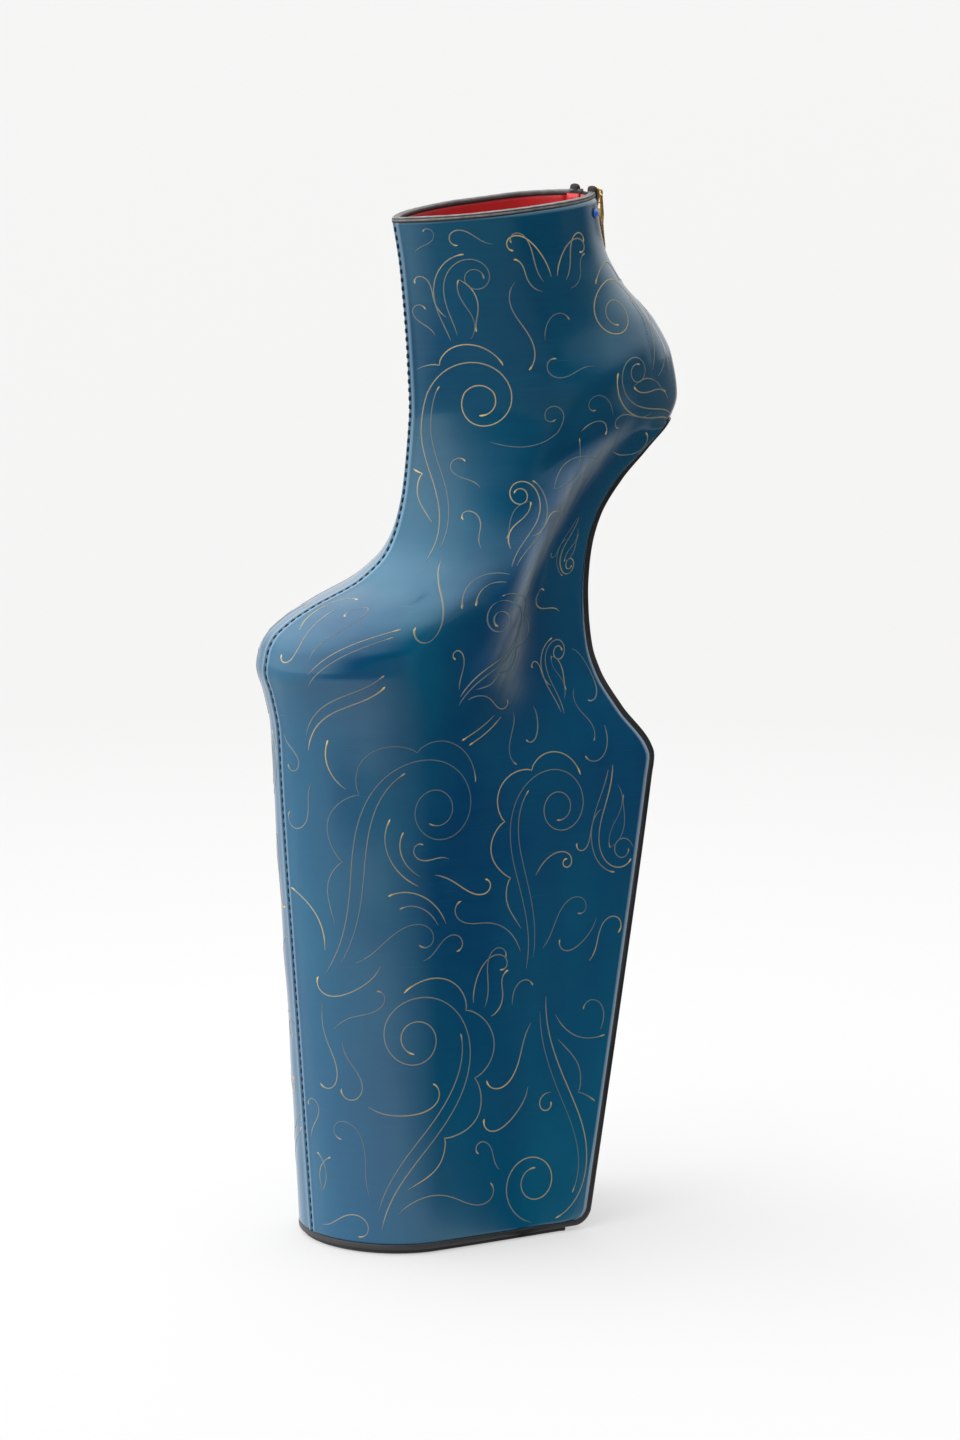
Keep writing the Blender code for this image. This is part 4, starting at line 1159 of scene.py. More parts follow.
stitches = {"pitch": 3.7, "length": 2.5, "radius": 0.42, "lift": -0.05, "endSink": 0.25, "start": 3.0, "stop": 2.0,
            "around": 8, "along": 7, "steps": 1500, "weld": 0.005}


def seamLine():
    # the front seam from floor to collar: points, run and outward normals in the middle plane
    level = np.linspace(lastForm["baseTop"], lastForm["collar"] - stitches["stop"], stitches["steps"])
    line = np.stack([sections(level)["front"], np.zeros(len(level)), level], axis=1)
    way = directions(line)
    return line, np.stack([-way[:, 2], np.zeros(len(level)), way[:, 0]], axis=1), runOf(line)


def makeStitches():
    # capsules: a round profile that closes at both ends, carried along each short length of the seam
    line, out, run = seamLine()
    centres = np.arange(stitches["start"], run[-1] - stitches["stop"], stitches["pitch"])
    share = np.linspace(-1.0, 1.0, stitches["along"])
    at = centres[:, None] + share[None, :] * stitches["length"] / 2
    middle, up = readLine(line, run, at), readLine(out, run, at)
    turn = fullTurn(stitches["around"])
    girth = (stitches["radius"] * np.sqrt(np.clip(1 - share ** 4, 0.0, 1.0)))[None, :, None]
    sink = (stitches["lift"] - stitches["endSink"] * share ** 4)[None, :, None]
    points = middle[:, :, None, :] + up[:, :, None, :] * (sink + girth * np.sin(turn))[..., None]
    points[..., 1] += girth * np.cos(turn)
    one = gridFaces(stitches["along"], stitches["around"], wrapColumns=True)
    faces = repeatFaces(one, len(centres), stitches["along"] * stitches["around"])
    piece = makePiece("seam_stitches", points, faces, blackThread, weld=stitches["weld"], recalculate=True)


makeStitches()
print("seam stitched")


# Sole sheet: rounded strip carried from under the heel down the arch, round the corner and under the base

soleSheet = {"gap": 0.15, "thickness": 2.45, "endThickness": 0.7, "endTaper": 24.0, "top": 356.0, "bulge": 0.3,
             "across": 15, "edgeSteps": 7, "low": 12.0, "backSteps": 260, "cornerSteps": 12, "baseSteps": 90,
             "slimBelow": 6.0, "sharp": 50.0}   # the side's bulge dies out where the strip is narrower than slimBelow


def solePath():
    # stations of the strip: x, z, half width, bow of the back and thickness
    bend = np.sin(np.linspace(0.0, 1.0, soleSheet["cornerSteps"])[1:] * math.pi / 2)
    level = np.concatenate([np.linspace(soleSheet["top"], soleSheet["low"], soleSheet["backSteps"]),
                            lastForm["baseTop"] + lastForm["baseCorner"] * (1 - bend)])
    row = sections(level)
    taper = np.clip((soleSheet["top"] - level) / soleSheet["endTaper"], 0.0, 1.0)
    thick = soleSheet["endThickness"] + (soleSheet["thickness"] - soleSheet["endThickness"]) * taper
    shares = 1 - np.linspace(0.0, 1.0, soleSheet["baseSteps"])[1:]
    base = sideGrid(np.array([lastForm["baseTop"]]), -1, shares)[0]
    count = len(base)
    return (np.concatenate([row["back"], base[:, 0]]),
            np.concatenate([level, np.full(count, lastForm["baseTop"])]),
            np.concatenate([row["halfBack"], np.maximum(-base[:, 1], 0.0)]),
            np.concatenate([row["crown"], np.zeros(count)]),
            np.concatenate([thick, np.full(count, soleSheet["thickness"])]))


def makeSole():
    # a flat ring with round sides carried along the stations
    x, z, half, bow, thick = [values[:, None] for values in solePath()]
    way = directions(np.concatenate([x, z], axis=1))
    line = np.linspace(-1.0, 1.0, soleSheet["across"])
    turn = np.linspace(-math.pi / 2, math.pi / 2, soleSheet["edgeSteps"])[1:-1]
    flat, edge = np.zeros(len(line)), np.ones(len(turn))
    across = np.concatenate([line, edge, line[::-1], -edge])
    depth = np.concatenate([flat, 0.5 + 0.5 * np.sin(turn), flat + 1.0, 0.5 - 0.5 * np.sin(turn)])
    bulge = np.concatenate([flat, np.cos(turn), flat, -np.cos(turn)]) * soleSheet["bulge"]
    slim = np.clip(half / soleSheet["slimBelow"], 0.0, 1.0)
    away = soleSheet["gap"] + thick * depth
    points = np.stack([x - bow * across ** 2 - way[:, 1:] * away, half * across + slim * bulge,
                       z + way[:, :1] * away], axis=2)
    piece = makePiece("sole_sheet", points, tubeFaces(*points.shape[:2]), blackSole, recalculate=True,
                      sharp=soleSheet["sharp"])
    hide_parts("sole")


makeSole()
print("sole sheet made")


# Plates: a closed outline carried through rings of inset and height, closed in the middle

def platePoints(outline, rings, centre):
    # rings of the outline drawn in by each inset at each height, ending in points over the centre
    run = directions(np.concatenate([outline[-1:], outline, outline[:1]]))[1:-1]
    inward = np.stack([-run[:, 1], run[:, 0]], axis=1)
    inset, height = np.array(rings).T
    flat = outline[None] + inward[None] * inset[:, None, None]
    grid = np.concatenate([flat, np.broadcast_to(height[:, None, None], (*flat.shape[:2], 1))], axis=2)
    low, high = [np.broadcast_to((*centre, height[end]), (1, len(outline), 3)) for end in (0, -1)]
    return np.concatenate([low, grid, high])


outsole = {
    "inset": 1.6,
    "backInset": 4.2,
    "tip": 0.4,
    "count": 44,
    "behindCount": 11,
    "centre": (50.0, 0.0),
    "rings": ((3.6, 0.6), (3.2, 0.02), (0.7, 0.02), (0.25, 0.2), (0.0, 0.6), (0.0, 1.35), (0.2, 1.7), (0.7, 1.8),
              (6.0, 1.8)),
    "barPitch": 4.2,
    "barHalf": 1.15,
    "barHeight": 0.6,
    "barMargin": 4.2,
    "barsFrom": 8.0,        # from the plate's front, and from its back
    "barsTo": 4.0,
    "barProfile": ((-1.0, 1.3), (-1.0, 0.4), (-0.7, 0.0), (0.7, 0.0), (1.0, 0.4), (1.0, 1.3)),
    "barAcross": (-1.0, -0.999, -0.5, 0.0, 0.5, 0.999, 1.0),
    "barEnd": 0.9,          # height to which both ends close
    "sharp": 40.0,
    "weld": 0.01,
}


def makeOutsole():
    # the base's outline drawn in and cut off at the back, as a plate with a rim and a sunk middle
    half = sideGrid(np.array([lastForm["baseTop"]]), 1, np.linspace(0.0, 1.0, outsole["count"]))
    half = drawnIn(half, outsole["inset"])[0, :, :2]
    half = half[half[:, 1] > 0.0]
    tip = np.array([[half[0, 0] - outsole["tip"], 0.0]])
    limit = half[-1, 0] - outsole["backInset"]
    half = half[half[:, 0] < limit]
    across = np.linspace(half[-1, 1], -half[-1, 1], outsole["behindCount"])
    behind = np.stack([np.full(len(across), limit), across], axis=1)
    right = np.concatenate([tip, half, behind[:1]])
    outline = np.concatenate([right, behind[1:-1], (right * (1, -1))[:0:-1]])[::-1]
    grid = platePoints(outline, outsole["rings"], outsole["centre"])
    piece = makePiece("outsole_plate", grid, gridFaces(*grid.shape[:2], wrapColumns=True), blackTread,
                      weld=outsole["weld"], recalculate=True, sharp=outsole["sharp"])
    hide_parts("outsole")
    return right


def makeTread(edge):
    # bars across the underside: a rounded profile carried from edge to edge
    x = np.arange(edge[:, 0].min() + outsole["barsFrom"], edge[-1, 0] - outsole["barsTo"], outsole["barPitch"])
    half = np.interp(x, edge[:, 0], edge[:, 1]) - outsole["barMargin"]
    profile, across = np.array(outsole["barProfile"]), np.array(outsole["barAcross"])
    points = np.empty((len(x), len(across), len(profile), 3))
    points[..., 0] = x[:, None, None] + profile[:, 0] * outsole["barHalf"]
    points[..., 1] = (half[:, None] * across)[:, :, None]
    points[..., 2] = profile[:, 1] * outsole["barHeight"]
    points[:, (0, -1), :, 2] = outsole["barHeight"] * outsole["barEnd"]
    one = gridFaces(len(across), len(profile), wrapColumns=True)
    faces = repeatFaces(one, len(x), len(across) * len(profile))
    piece = makePiece("tread_bars", points, faces, blackTread, recalculate=True, sharp=outsole["sharp"])


makeTread(makeOutsole())
print("outsole made")


# Insole: thin red sheet over the block

insole = {"path": ((-11.0, 221.0), (30.0, 221.5), (60.0, 227.0), (84.0, 248.0), (101.0, 278.0), (113.0, 304.0),
                   (128.0, 326.0), (144.0, 341.0), (158.0, 349.0)),
          "steps": 70, "across": 17, "thickness": 2.0, "inset": 3.9, "sideSteps": 90, "narrowest": 1.0,
          "edgeFall": 0.35, "edgePower": 6, "sharp": 50.0}


def makeInsole():
    # the path from toe to heel seat, as wide as the lining leaves room for, its upper edges eased
    knots = np.array(insole["path"])
    run = runOf(knots)
    at = np.linspace(0.0, run[-1], insole["steps"])
    x, z = monotone(at, run, knots[:, 0]), monotone(at, run, knots[:, 1])
    halves = []
    for side in (-1, 1):
        grid = drawnIn(sideGrid(z, side, np.linspace(0.0, 1.0, insole["sideSteps"])), insole["inset"])
        halves.append([np.interp(spot, line[:, 0], np.abs(line[:, 1])) for spot, line in zip(x, grid)])
    half = np.maximum(np.min(halves, axis=0), insole["narrowest"])[:, None]
    way = directions(np.stack([x, z], axis=1))
    across = np.linspace(-1.0, 1.0, insole["across"])[None, :]
    under = np.full(across.shape, insole["thickness"])
    over = insole["edgeFall"] * np.abs(across) ** insole["edgePower"]
    under, over = [np.stack([x[:, None] + way[:, 1:] * fall, half * across, z[:, None] - way[:, :1] * fall], axis=2)
                   for fall in (under, over)]
    ring = np.concatenate([under, over[:, ::-1]], axis=1)
    piece = makePiece("insole_sheet", ring, tubeFaces(*ring.shape[:2]), redLining, recalculate=True,
                      sharp=insole["sharp"])
    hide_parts("insole")


makeInsole()
print("insole made")


# Zip: woven tapes, two rows of teeth, slider, pull tab, folded tape ends

zipParts = {"low": 375.0, "tapeLow": 372.0, "high": 450.0, "tapeDepth": 3.6, "tapeThickness": 1.0, "tapeHalf": 7.0,
            "tapeSlit": 0.5, "tapeSteps": 60, "tapeColumns": 9, "sharp": 40.0, "toothPitch": 2.3,
            "toothSize": (2.1, 2.9, 1.35), "toothMiddle": 0.95, "toothDepth": 2.25, "toothPower": 0.45,
            "toothRings": 7, "toothAround": 12, "toothSteps": 300, "firstTooth": 1.5, "lastTooth": 1.0, "weld": 0.003}


def zipLine(count, low):
    # middle line of the back up the zip: points, directions, outward normals, and the sections
    level = np.linspace(low, zipParts["high"], count)
    row = sections(level)
    line = np.stack([row["back"], np.zeros(count), heightAt(level, row["back"], row)], axis=1)
    way = directions(line)
    return line, way, np.stack([way[:, 2], np.zeros(count), -way[:, 0]], axis=1), row


def makeTapes():
    # a bowed strip on each side of the slit, inside the leather
    line, _, out, row = zipLine(zipParts["tapeSteps"], zipParts["tapeLow"])
    y = np.linspace(zipParts["tapeSlit"], zipParts["tapeHalf"], zipParts["tapeColumns"])
    bow = row["crown"][:, None] * (y / row["halfBack"][:, None]) ** 2
    for name, side in (("zip_tape_near", -1), ("zip_tape_far", 1)):
        grids = []
        for depth in (zipParts["tapeDepth"] + zipParts["tapeThickness"], zipParts["tapeDepth"]):
            grid = np.repeat((line - out * depth)[:, None, :], len(y), axis=1)
            grid[..., 0] -= bow
            grid[..., 1] = side * y
            grids.append(grid)
        ring = np.concatenate([grids[0], grids[1][:, ::-1]], axis=1)
        piece = makePiece(name, ring, tubeFaces(*ring.shape[:2]), blackTape, recalculate=True,
                          sharp=zipParts["sharp"])
        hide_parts("zip_tape")


def makeTeeth():
    # rounded blocks: a squared ball, carried up both sides of the zip, half a pitch apart
    line, way, out, _ = zipLine(zipParts["toothSteps"], zipParts["low"])
    run = runOf(line)
    rings, count = zipParts["toothRings"], zipParts["toothAround"]
    lat, lon = np.linspace(-math.pi / 2, math.pi / 2, rings)[:, None], fullTurn(count)[None, :]
    wide, power = squared(np.cos(lat), zipParts["toothPower"]), zipParts["toothPower"]
    ball = np.stack([wide * squared(np.cos(lon), power), wide * squared(np.sin(lon), power),
                     squared(np.sin(lat), power) * np.ones_like(lon)], axis=2) * np.array(zipParts["toothSize"]) / 2
    one = gridFaces(rings, count, wrapColumns=True)
    across = np.array([0.0, 1.0, 0.0])
    parts = []
    for side in (-1, 1):
        first = zipParts["firstTooth"] + (side > 0) * zipParts["toothPitch"] / 2
        at = np.arange(first, run[-1] - zipParts["lastTooth"], zipParts["toothPitch"])
        middle, up, off = [readLine(values, run, at) for values in (line, way, out)]
        centre = middle - off * zipParts["toothDepth"] + across * side * zipParts["toothMiddle"]
        teeth = (centre[:, None, None, :] + ball[..., :1] * off[:, None, None, :] + ball[..., 1:2] * across
                 + ball[..., 2:] * up[:, None, None, :])
        parts.append((teeth, repeatFaces(one, len(at), rings * count)))
    piece = makePiece("zip_teeth", *joinParts(parts), goldMetal, weld=zipParts["weld"], recalculate=True)
    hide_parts("zip_chain")


makeTapes()
makeTeeth()
print("zip made")


def tubeAlong(path, radii, count=10):
    # oval profile carried along a path in the middle plane, closed at both ends
    way = directions(path)
    out = np.stack([-way[:, 2], np.zeros(len(path)), way[:, 0]], axis=1)
    turn = fullTurn(count)
    grid = path[:, None, :] + out[:, None, :] * (radii[0] * np.cos(turn))[None, :, None]
    grid[..., 1] += radii[1] * np.sin(turn)
    low, high = [np.repeat(path[end, None, None], count, axis=1) for end in (0, -1)]
    grid = np.concatenate([low, grid, high])
    return grid, gridFaces(*grid.shape[:2], wrapColumns=True)


# Slider: two shield plates on a narrow core, with a strap over the front that holds the pull

slider = {
    # one half of the shield: y and z from its middle
    "half": ((0.0, -5.0), (1.5, -5.0), (2.15, -4.6), (2.5, -3.4), (3.0, -1.0), (3.4, 1.0), (3.5, 3.0), (3.3, 4.2),
             (2.6, 4.85), (1.5, 5.0), (0.0, 5.0)),
    # rings of a plate's edge: inset, share of its thickness
    "edge": ((0.8, 0.0), (0.25, 0.0), (0.05, 0.12), (0.0, 0.3), (0.0, 0.75), (0.08, 0.92), (0.3, 1.0), (0.9, 1.0)),
    # start and end depth, size across and size up
    "plates": ((0.0, 0.62, 1.0, 1.0), (0.5, 1.3, 0.62, 0.9), (1.15, 2.2, 1.0, 1.0)),
    "strap": ((142.8, 457.75), (145.5, 457.75), (146.25, 457.5), (146.62, 456.8), (146.64, 455.0), (146.62, 453.1),
              (146.25, 452.4), (145.5, 452.05), (142.8, 452.05)),
    "strapRadii": (0.45, 0.85),
    "sharp": 35.0,
    "weld": 0.002,
}


def makeSlider():
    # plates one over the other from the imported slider's front, then the strap
    low, high = boxOf("zip_slider")
    middle = (low[2] + high[2]) / 2
    half = np.array(slider["half"])
    outline = np.concatenate([half, (half * (-1, 1))[-2:0:-1]])
    parts = []
    for start, end, *size in slider["plates"]:
        rings = [(inset, share * (end - start)) for inset, share in slider["edge"]]
        grid = platePoints(outline * size, rings, (0.0, 0.0))
        points = np.stack([low[0] + start + grid[..., 2], grid[..., 0], middle + grid[..., 1]], axis=2)
        parts.append((points, gridFaces(*grid.shape[:2], wrapColumns=True)))
    parts.append(tubeAlong(np.array([(x, 0.0, z) for x, z in slider["strap"]]), slider["strapRadii"]))
    piece = makePiece("slider_body", *joinParts(parts), goldMetal, weld=slider["weld"], recalculate=True,
                      sharp=slider["sharp"])
    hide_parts("zip_slider")


# Pull tab: waisted tab with an eye, rounded edges; rings run from its outer edge over the face to the eye and back

pullTab = {
    "hinge": (144.889, 0.0, 455.411),
    "lean": 5.09,
    "halfWidth": 3.1,
    "edge": ((-26.0, 0.45), (-23.0, 0.78), (-14.0, 0.62), (-7.8, 1.0), (0.8, 1.0)),   # height, share of the half width
    "topRound": 1.3,
    "tipRound": 1.6,
    "roundSteps": 12,
    "edgeSteps": 60,
    "eye": (1.5, -0.55, -5.8),      # half width, top, bottom
    "eyePower": 0.45,
    "eyeSteps": 60,
    # rings over one face: 0 at the outer edge or 1 at the eye, inset, share of the half thickness
    "face": ((0, 0.0, 0.0), (0, 0.0, 0.5), (0, 0.12, 0.85), (0, 0.45, 1.0), (1, 0.4, 1.0), (1, 0.1, 0.85),
             (1, 0.0, 0.5), (1, 0.0, 0.0)),
    "halfThickness": 0.55,
    "count": 84,
    "sharp": 40.0,
}


def evenLoop(points, outwards):
    # a closed loop read at equal steps, and its unit normals to one side
    loop = np.concatenate([points, points[:1]])
    run = runOf(loop)
    loop = readLine(loop, run, np.linspace(0.0, run[-1], pullTab["count"], endpoint=False))
    way = np.roll(loop, -1, axis=0) - np.roll(loop, 1, axis=0)
    way /= np.linalg.norm(way, axis=1)[:, None]
    return loop, np.stack([way[:, 1], -way[:, 0]], axis=1) * outwards


def makePull():
    # outline of the tab: half widths over heights, its tip a quarter circle and its top corners squared rounds
    knots = np.array(pullTab["edge"])
    tip, top = knots[0, 0], knots[-1, 0]
    tipRound, topRound = pullTab["tipRound"], pullTab["topRound"]
    bend = np.linspace(0, math.pi / 2, pullTab["roundSteps"])
    height = np.concatenate([tip + tipRound * (1 - np.cos(bend)),
                             np.linspace(tip + tipRound, top - topRound, pullTab["edgeSteps"])[1:-1],
                             top - topRound * (1 - np.sin(bend))])
    half = pullTab["halfWidth"] * monotone(height, knots[:, 0], knots[:, 1])
    toTip = np.clip((height - tip) / tipRound, 0.0, 1.0)
    toTop = np.clip((top - height) / topRound, 0.0, 1.0)
    half = half * np.sqrt(1 - (1 - toTip) ** 2) * (1 - (1 - toTop) ** 4) ** 0.25
    sides = [np.stack([sign * half, height], axis=1) for sign in (1, -1)]
    wide, eyeTop, eyeBottom = pullTab["eye"]
    turn = np.linspace(-math.pi / 2, 3 * math.pi / 2, pullTab["eyeSteps"], endpoint=False)
    eyeAcross = wide * squared(np.cos(turn), pullTab["eyePower"])
    eyeUp = (eyeTop + eyeBottom) / 2 + (eyeTop - eyeBottom) / 2 * squared(np.sin(turn), pullTab["eyePower"])
    loops = (evenLoop(np.concatenate([sides[0], sides[1][-2:0:-1]]), -1.0),
             evenLoop(np.stack([eyeAcross, eyeUp], axis=1), 1.0))
    rings = pullTab["face"] + tuple((loop, inset, -up) for loop, inset, up in pullTab["face"][-2:0:-1])
    flat = np.stack([loops[k][0] + loops[k][1] * inset for k, inset, _ in rings], axis=1)
    up = np.array([level for _, _, level in rings]) * pullTab["halfThickness"]
    lean = math.radians(pullTab["lean"])
    down = np.array([math.sin(lean), 0.0, -math.cos(lean)])
    out = np.array([math.cos(lean), 0.0, math.sin(lean)])
    points = np.array(pullTab["hinge"]) - flat[..., 1:] * down + up[None, :, None] * out
    points[..., 1] += flat[..., 0]
    faces = gridFaces(*points.shape[:2], wrapRows=True, wrapColumns=True)
    piece = makePiece("pull_tab", points, faces, goldMetal, body="pull", recalculate=True, sharp=pullTab["sharp"])
    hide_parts("zip_pull")


# Tape ends: folded black knobs standing on the rim

tapeEnd = {"power": 0.7, "foot": 2.0, "spread": (1.25, 1.45), "height": 0.88, "dome": 2.4, "rings": 9, "lon": 24,
           "crease": 0.16, "creaseWidth": 0.3, "weld": 0.005}


def makeTapeEnds():
    # low dome on a squared plan: full width at its foot in the rim, rounded in to a middle point at the top
    rise = np.sin(np.linspace(0.0, math.pi / 2, tapeEnd["rings"]))
    share = np.concatenate([[-tapeEnd["foot"]], rise])[:, None]
    lon = fullTurn(tapeEnd["lon"])[None, :]
    width = (1 - np.clip(share, 0.0, 1.0) ** tapeEnd["dome"]) ** (1 / tapeEnd["dome"])
    crease = tapeEnd["crease"] * bell(np.sin(lon), tapeEnd["creaseWidth"]) * width * (share > 0)
    deep, wide = tapeEnd["spread"]
    ball = np.stack([width * squared(np.cos(lon), tapeEnd["power"]) * deep,
                     width * squared(np.sin(lon), tapeEnd["power"]) * wide,
                     share * 2.0 * tapeEnd["height"] - 1.0 - crease], axis=2)
    for name, nodeName in (("tape_knob_near", "zip_end_near"), ("tape_knob_far", "zip_end_far")):
        low, high = boxOf(nodeName)
        points = (low + high) / 2 + ball * (high - low) / 2
        faces = [*gridFaces(*points.shape[:2], wrapColumns=True), np.arange(tapeEnd["lon"])]
        piece = makePiece(name, points, faces, blackTape, weld=tapeEnd["weld"], recalculate=True)
        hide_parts(nodeName)


# Studs: enamel dome in a dark ring, turned about the leather's own outward direction

stud = {
    "level": 443.0,
    "dome": ((0.0, 1.62), (0.6, 1.58), (1.25, 1.40), (1.8, 1.02), (2.12, 0.5), (2.12, -0.2)),   # radius, height
    "ring": ((2.05, 0.1), (2.1, 0.35), (2.22, 0.42), (2.34, 0.35), (2.4, 0.15), (2.4, -0.5)),
    "around": 28,
    "weld": 0.002,
}


def makeStuds():
    # profiles turned about the outward direction at the leather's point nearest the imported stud
    turn = fullTurn(stud["around"])
    for side, label in ((-1, "near"), (1, "far")):
        low, high = boxOf("stud_" + label)
        line = halfOutline(np.array([stud["level"]]), side, False)[0][0]
        at = np.argmin(np.linalg.norm(line[:, :2] - (low + high)[:2] / 2, axis=1))
        way = (line[at + 1] - line[at - 1]) * (1.0, 1.0, 0.0)
        way /= np.linalg.norm(way)
        out = np.array([-side * way[1], side * way[0], 0.0])
        up = np.array([0.0, 0.0, 1.0])
        for part, finish in (("dome", blueEnamel), ("ring", blackThread)):
            radius, height = np.array(stud[part]).T[..., None]
            points = (line[at] + out * height[..., None] + way * (radius * np.cos(turn))[..., None]
                      + up * (radius * np.sin(turn))[..., None])
            piece = makePiece("stud_" + part + "_" + label, points, gridFaces(*points.shape[:2], wrapColumns=True),
                              finish, weld=stud["weld"], recalculate=True)
            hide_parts("stud_" + label)


makeSlider()
makePull()
makeTapeEnds()
makeStuds()
print("slider, pull, tape ends and studs made")

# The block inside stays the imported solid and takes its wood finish
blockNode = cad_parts["platform"]
blockNode.data.materials.clear()
blockNode.data.materials.append(blockWood)


# Studio: pale floor, soft light all round that is dimmer on the viewer's side, long lens

studio = {
    "floor": (1.0, 1.0, 1.0, 1.0),
    "farFloor": (0.885, 0.88, 0.875, 1.0),
    "floorAlbedo": (0.18, 0.18, 0.18, 1.0),
    "floorGlow": 0.50,             # keeps the shadow as faint as a lit sweep does
    "floorFade": (0.15, 1.3),      # distances over which the floor falls from one to the other: painted light, paler near the part
    "floorInGloss": (0.004, 0.004, 0.004, 1.0),   # reflections see a dark strip of floor towards the viewer
    "stripSide": (0.57, -0.82, 0.0),
    "stripRight": (0.82, 0.57, 0.0),
    "stripFrom": (0.0, -0.04, 0.0),
    "stripFades": (1.15, 0.60),    # angles over which the strip fades, left and right of its middle
    "sweepEnd": (0.65, 1.3),       # and the pale floor ends over these distances on the viewer's side
    "floorSize": 60.0,
    "floorLow": -0.0002,
    "cardEnds": ((0.12, -0.22), (0.23, 0.13)),
    "cardHeight": 0.31,
    "cardTone": (0.05, 0.10, 0.13, 1.0),
    "backdrop": (0.91, 0.91, 0.915, 1.0),
    "dimSide": (0.50, -0.866, 0.0),
    "glossDimSide": (-0.08, -0.997, 0.0),
    "glossLowSide": (0.70, -0.714, 0.0),
    "bright": 0.85,
    "dimOnMatt": 0.85,             # how far matt surfaces see the viewer's side fall
    "keySide": (0.20, 0.25, 0.947),
    "key": 1.1,
    "keyOnMatt": 1.75,
    "leftSide": (-0.92, 0.25, 0.30),
    "left": 0.85,
    "leftOnMatt": 4.1,
    "softBox": (-1.4, 0.9, 2.6),
    "softBoxAim": (0.0, 0.0, 0.25),
    "softBoxSize": 2.6,
    "softBoxPower": 3.0,
    "camera": (-1.2205, -2.1064, 0.6610),
    "aim": (0.004, 0.0, 0.226),
    "lens": 140.0,
    "sensor": 36.0,
    "clipEnd": 200.0,
}


def addQuad(name, corners, material):
    # one flat face of the studio
    mesh = bpy.data.meshes.new(name)
    mesh.from_pydata(corners, [], [(0, 1, 2, 3)])
    mesh.materials.append(material)
    return addObject(name, mesh)


def makeFloor():
    # pale sweep that falls off with distance, a painted light that lifts the part's shadow;
    # in reflections a dark strip and its far end towards the viewer
    half, low = studio["floorSize"] / 2, studio["floorLow"]
    material, tree, shader = newMaterial("paleFloor", roughness=0.9, specular=0.1)
    where = objectPlace(tree)
    beside = addNode(tree, "ShaderNodeVectorMath", {0: where, 1: studio["stripFrom"]}, operation="SUBTRACT")
    bearing = addNode(tree, "ShaderNodeVectorMath", {0: beside.outputs["Vector"]}, operation="NORMALIZE")
    bearing = bearing.outputs["Vector"]
    away = addNode(tree, "ShaderNodeVectorMath", {0: where}, operation="LENGTH").outputs["Value"]
    mirrored = addNode(tree, "ShaderNodeLightPath").outputs["Is Glossy Ray"]
    toStrip = towards(tree, bearing, studio["stripSide"])
    fade = rescale(tree, towards(tree, bearing, studio["stripRight"]), -0.02, 0.02, *studio["stripFades"])
    strip = maths(tree, "DIVIDE", maths(tree, "ARCCOSINE", toStrip, 0.0), fade)
    beyond = maths(tree, "MULTIPLY", rescale(tree, toStrip, -0.3, 0.1, 0.0, 0.85),
                   rescale(tree, away, *studio["sweepEnd"]))
    shade = maths(tree, "MAXIMUM", rescale(tree, strip, 0.17, 1.0, 1.0, 0.0), beyond)
    # paler near the part: painted light that lifts the shadow there
    pale = mixColours(tree, rescale(tree, away, *studio["floorFade"]), studio["floor"], studio["farFloor"])
    pale = mixColours(tree, maths(tree, "MULTIPLY", mirrored, shade), pale, studio["floorInGloss"])
    tree.links.new(mixColours(tree, 1.0, pale, studio["floorAlbedo"], "MULTIPLY"), shader.inputs["Base Color"])
    tree.links.new(pale, shader.inputs["Emission Color"])
    shader.inputs["Emission Strength"].default_value = studio["floorGlow"]
    floor = addQuad("floor", [(-half, -half, low), (half, -half, low), (half, half, low), (-half, half, low)],
                    material)


def makeCard():
    # a dark upright card to the right of the part, which only reflections see
    (ax, ay), (bx, by) = studio["cardEnds"]
    top = studio["cardHeight"]
    material, _, shader = newMaterial("darkCard", roughness=1.0, specular=0.0)
    shader.inputs["Base Color"].default_value = (0.0, 0.0, 0.0, 1.0)
    shader.inputs["Emission Color"].default_value = studio["cardTone"]
    shader.inputs["Emission Strength"].default_value = 1.0
    card = addQuad("card", [(ax, ay, 0.0), (bx, by, 0.0), (bx, by, top), (ax, ay, top)], material)
    card.visible_camera = card.visible_diffuse = card.visible_shadow = False


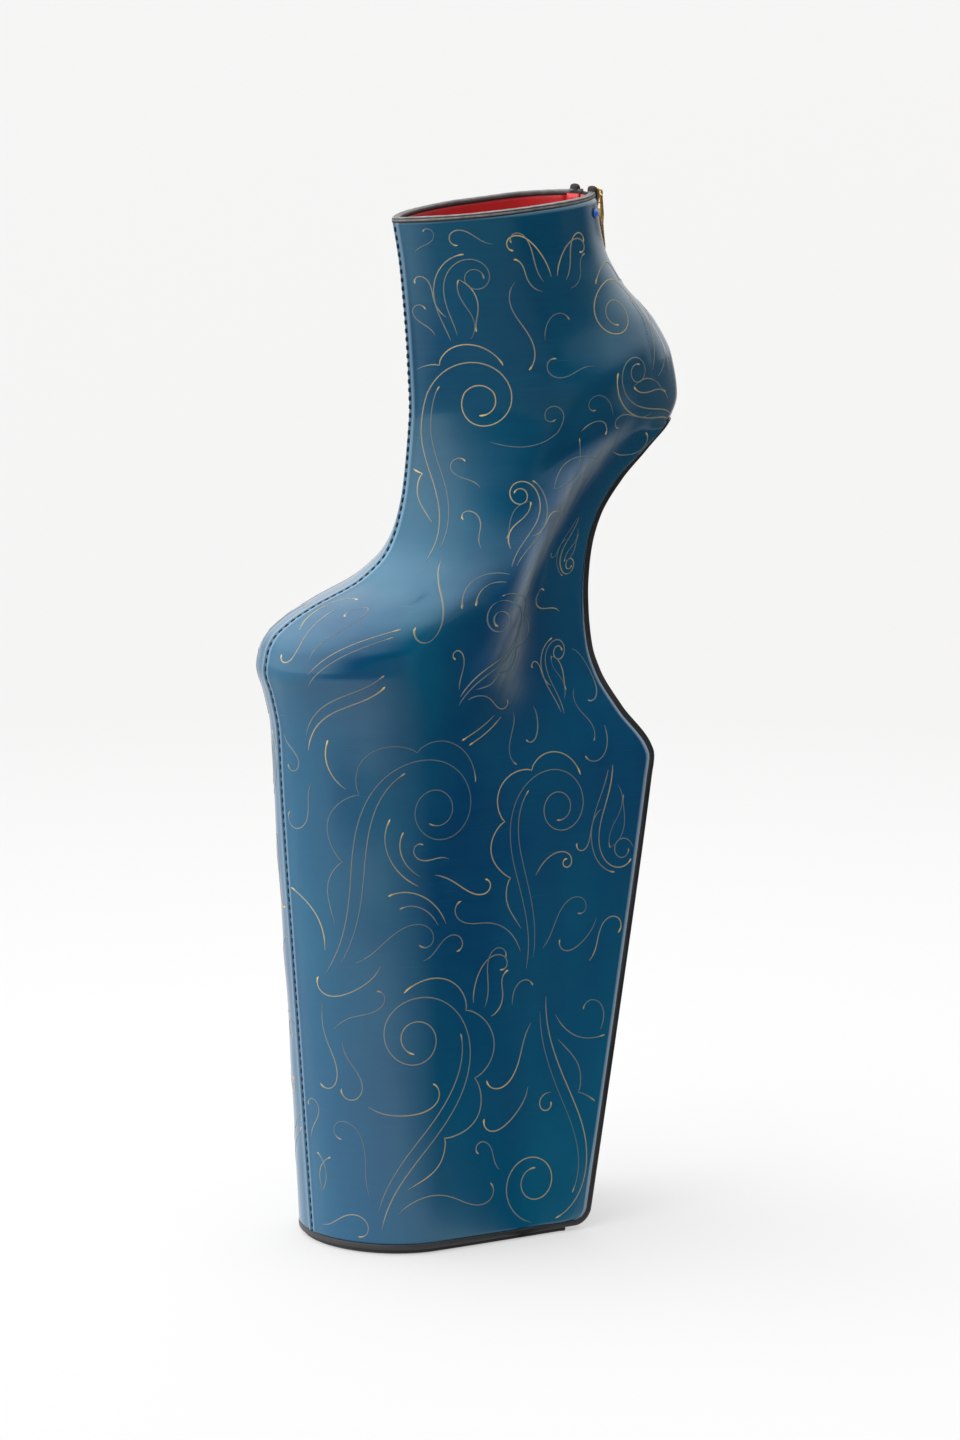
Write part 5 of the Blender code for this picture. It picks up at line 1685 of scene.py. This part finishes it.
def makeLight():
    # the room as a soft white shell, dim where the viewer stands; the camera itself sees a plain pale backdrop
    world = bpy.data.worlds.new("studio")
    world.use_nodes = True
    bpy.context.scene.world = world
    tree = world.node_tree
    facing = addNode(tree, "ShaderNodeTexCoord").outputs["Generated"]
    upward = addNode(tree, "ShaderNodeSeparateXYZ", {"Vector": facing}).outputs["Z"]
    rays = addNode(tree, "ShaderNodeLightPath")

    def dimmed(side, spread, heights, amounts):
        # a dim region: it grows over a spread of the dot product, and its amount changes between two heights
        return maths(tree, "MULTIPLY", rescale(tree, towards(tree, facing, studio[side]), *spread),
                     rescale(tree, upward, *heights, *amounts))

    inGloss = maths(tree, "MAXIMUM", dimmed("glossDimSide", (0.70, 0.92), (0.25, 0.6), (0.96, 0.1)),
                    dimmed("glossLowSide", (0.55, 0.85), (0.08, 0.28), (0.9, 0.0)))
    onMatt = dimmed("dimSide", (0.0, 0.42, 0.0, studio["dimOnMatt"]), (0.02, 0.35), (1.0, 0.5))
    keyLobe = rescale(tree, towards(tree, facing, studio["keySide"]), 0.3, 0.9)
    toLeft = towards(tree, facing, studio["leftSide"])
    rooms = []
    for dim, key, left, leftFrom in ((onMatt, "keyOnMatt", "leftOnMatt", 0.2), (inGloss, "key", "left", 0.45)):
        room = maths(tree, "MULTIPLY", maths(tree, "SUBTRACT", 1.0, dim), studio["bright"])
        room = maths(tree, "ADD", room, maths(tree, "MULTIPLY", keyLobe, studio[key]))
        leftLobe = rescale(tree, toLeft, leftFrom, 0.95)
        rooms.append(maths(tree, "ADD", room, maths(tree, "MULTIPLY", leftLobe, studio[left])))
    room = mixColours(tree, rays.outputs["Is Glossy Ray"], *rooms)
    tree.links.new(mixColours(tree, rays.outputs["Is Camera Ray"], room, studio["backdrop"]),
                   tree.nodes["Background"].inputs["Color"])
    softBox = bpy.data.lights.new("softBox", "AREA")
    softBox.size = studio["softBoxSize"]
    softBox.energy = studio["softBoxPower"]
    lamp = addObject("softBox", softBox)
    lamp.location = studio["softBox"]
    aimAt(lamp, studio["softBoxAim"])


def aimAt(thing, target):
    # turned to look at a point
    thing.rotation_euler = (Vector(target) - thing.location).to_track_quat("-Z", "Y").to_euler()


def makeCamera():
    # long lens at the photo's place
    lens = bpy.data.cameras.new("camera")
    lens.sensor_fit = "VERTICAL"
    lens.sensor_height = studio["sensor"]
    lens.lens = studio["lens"]
    lens.clip_end = studio["clipEnd"]
    camera = addObject("camera", lens)
    camera.location = studio["camera"]
    aimAt(camera, studio["aim"])
    bpy.context.scene.camera = camera


makeFloor()
makeCard()
makeLight()
makeCamera()
bpy.context.scene.view_settings.view_transform = "Standard"
print("studio ready")
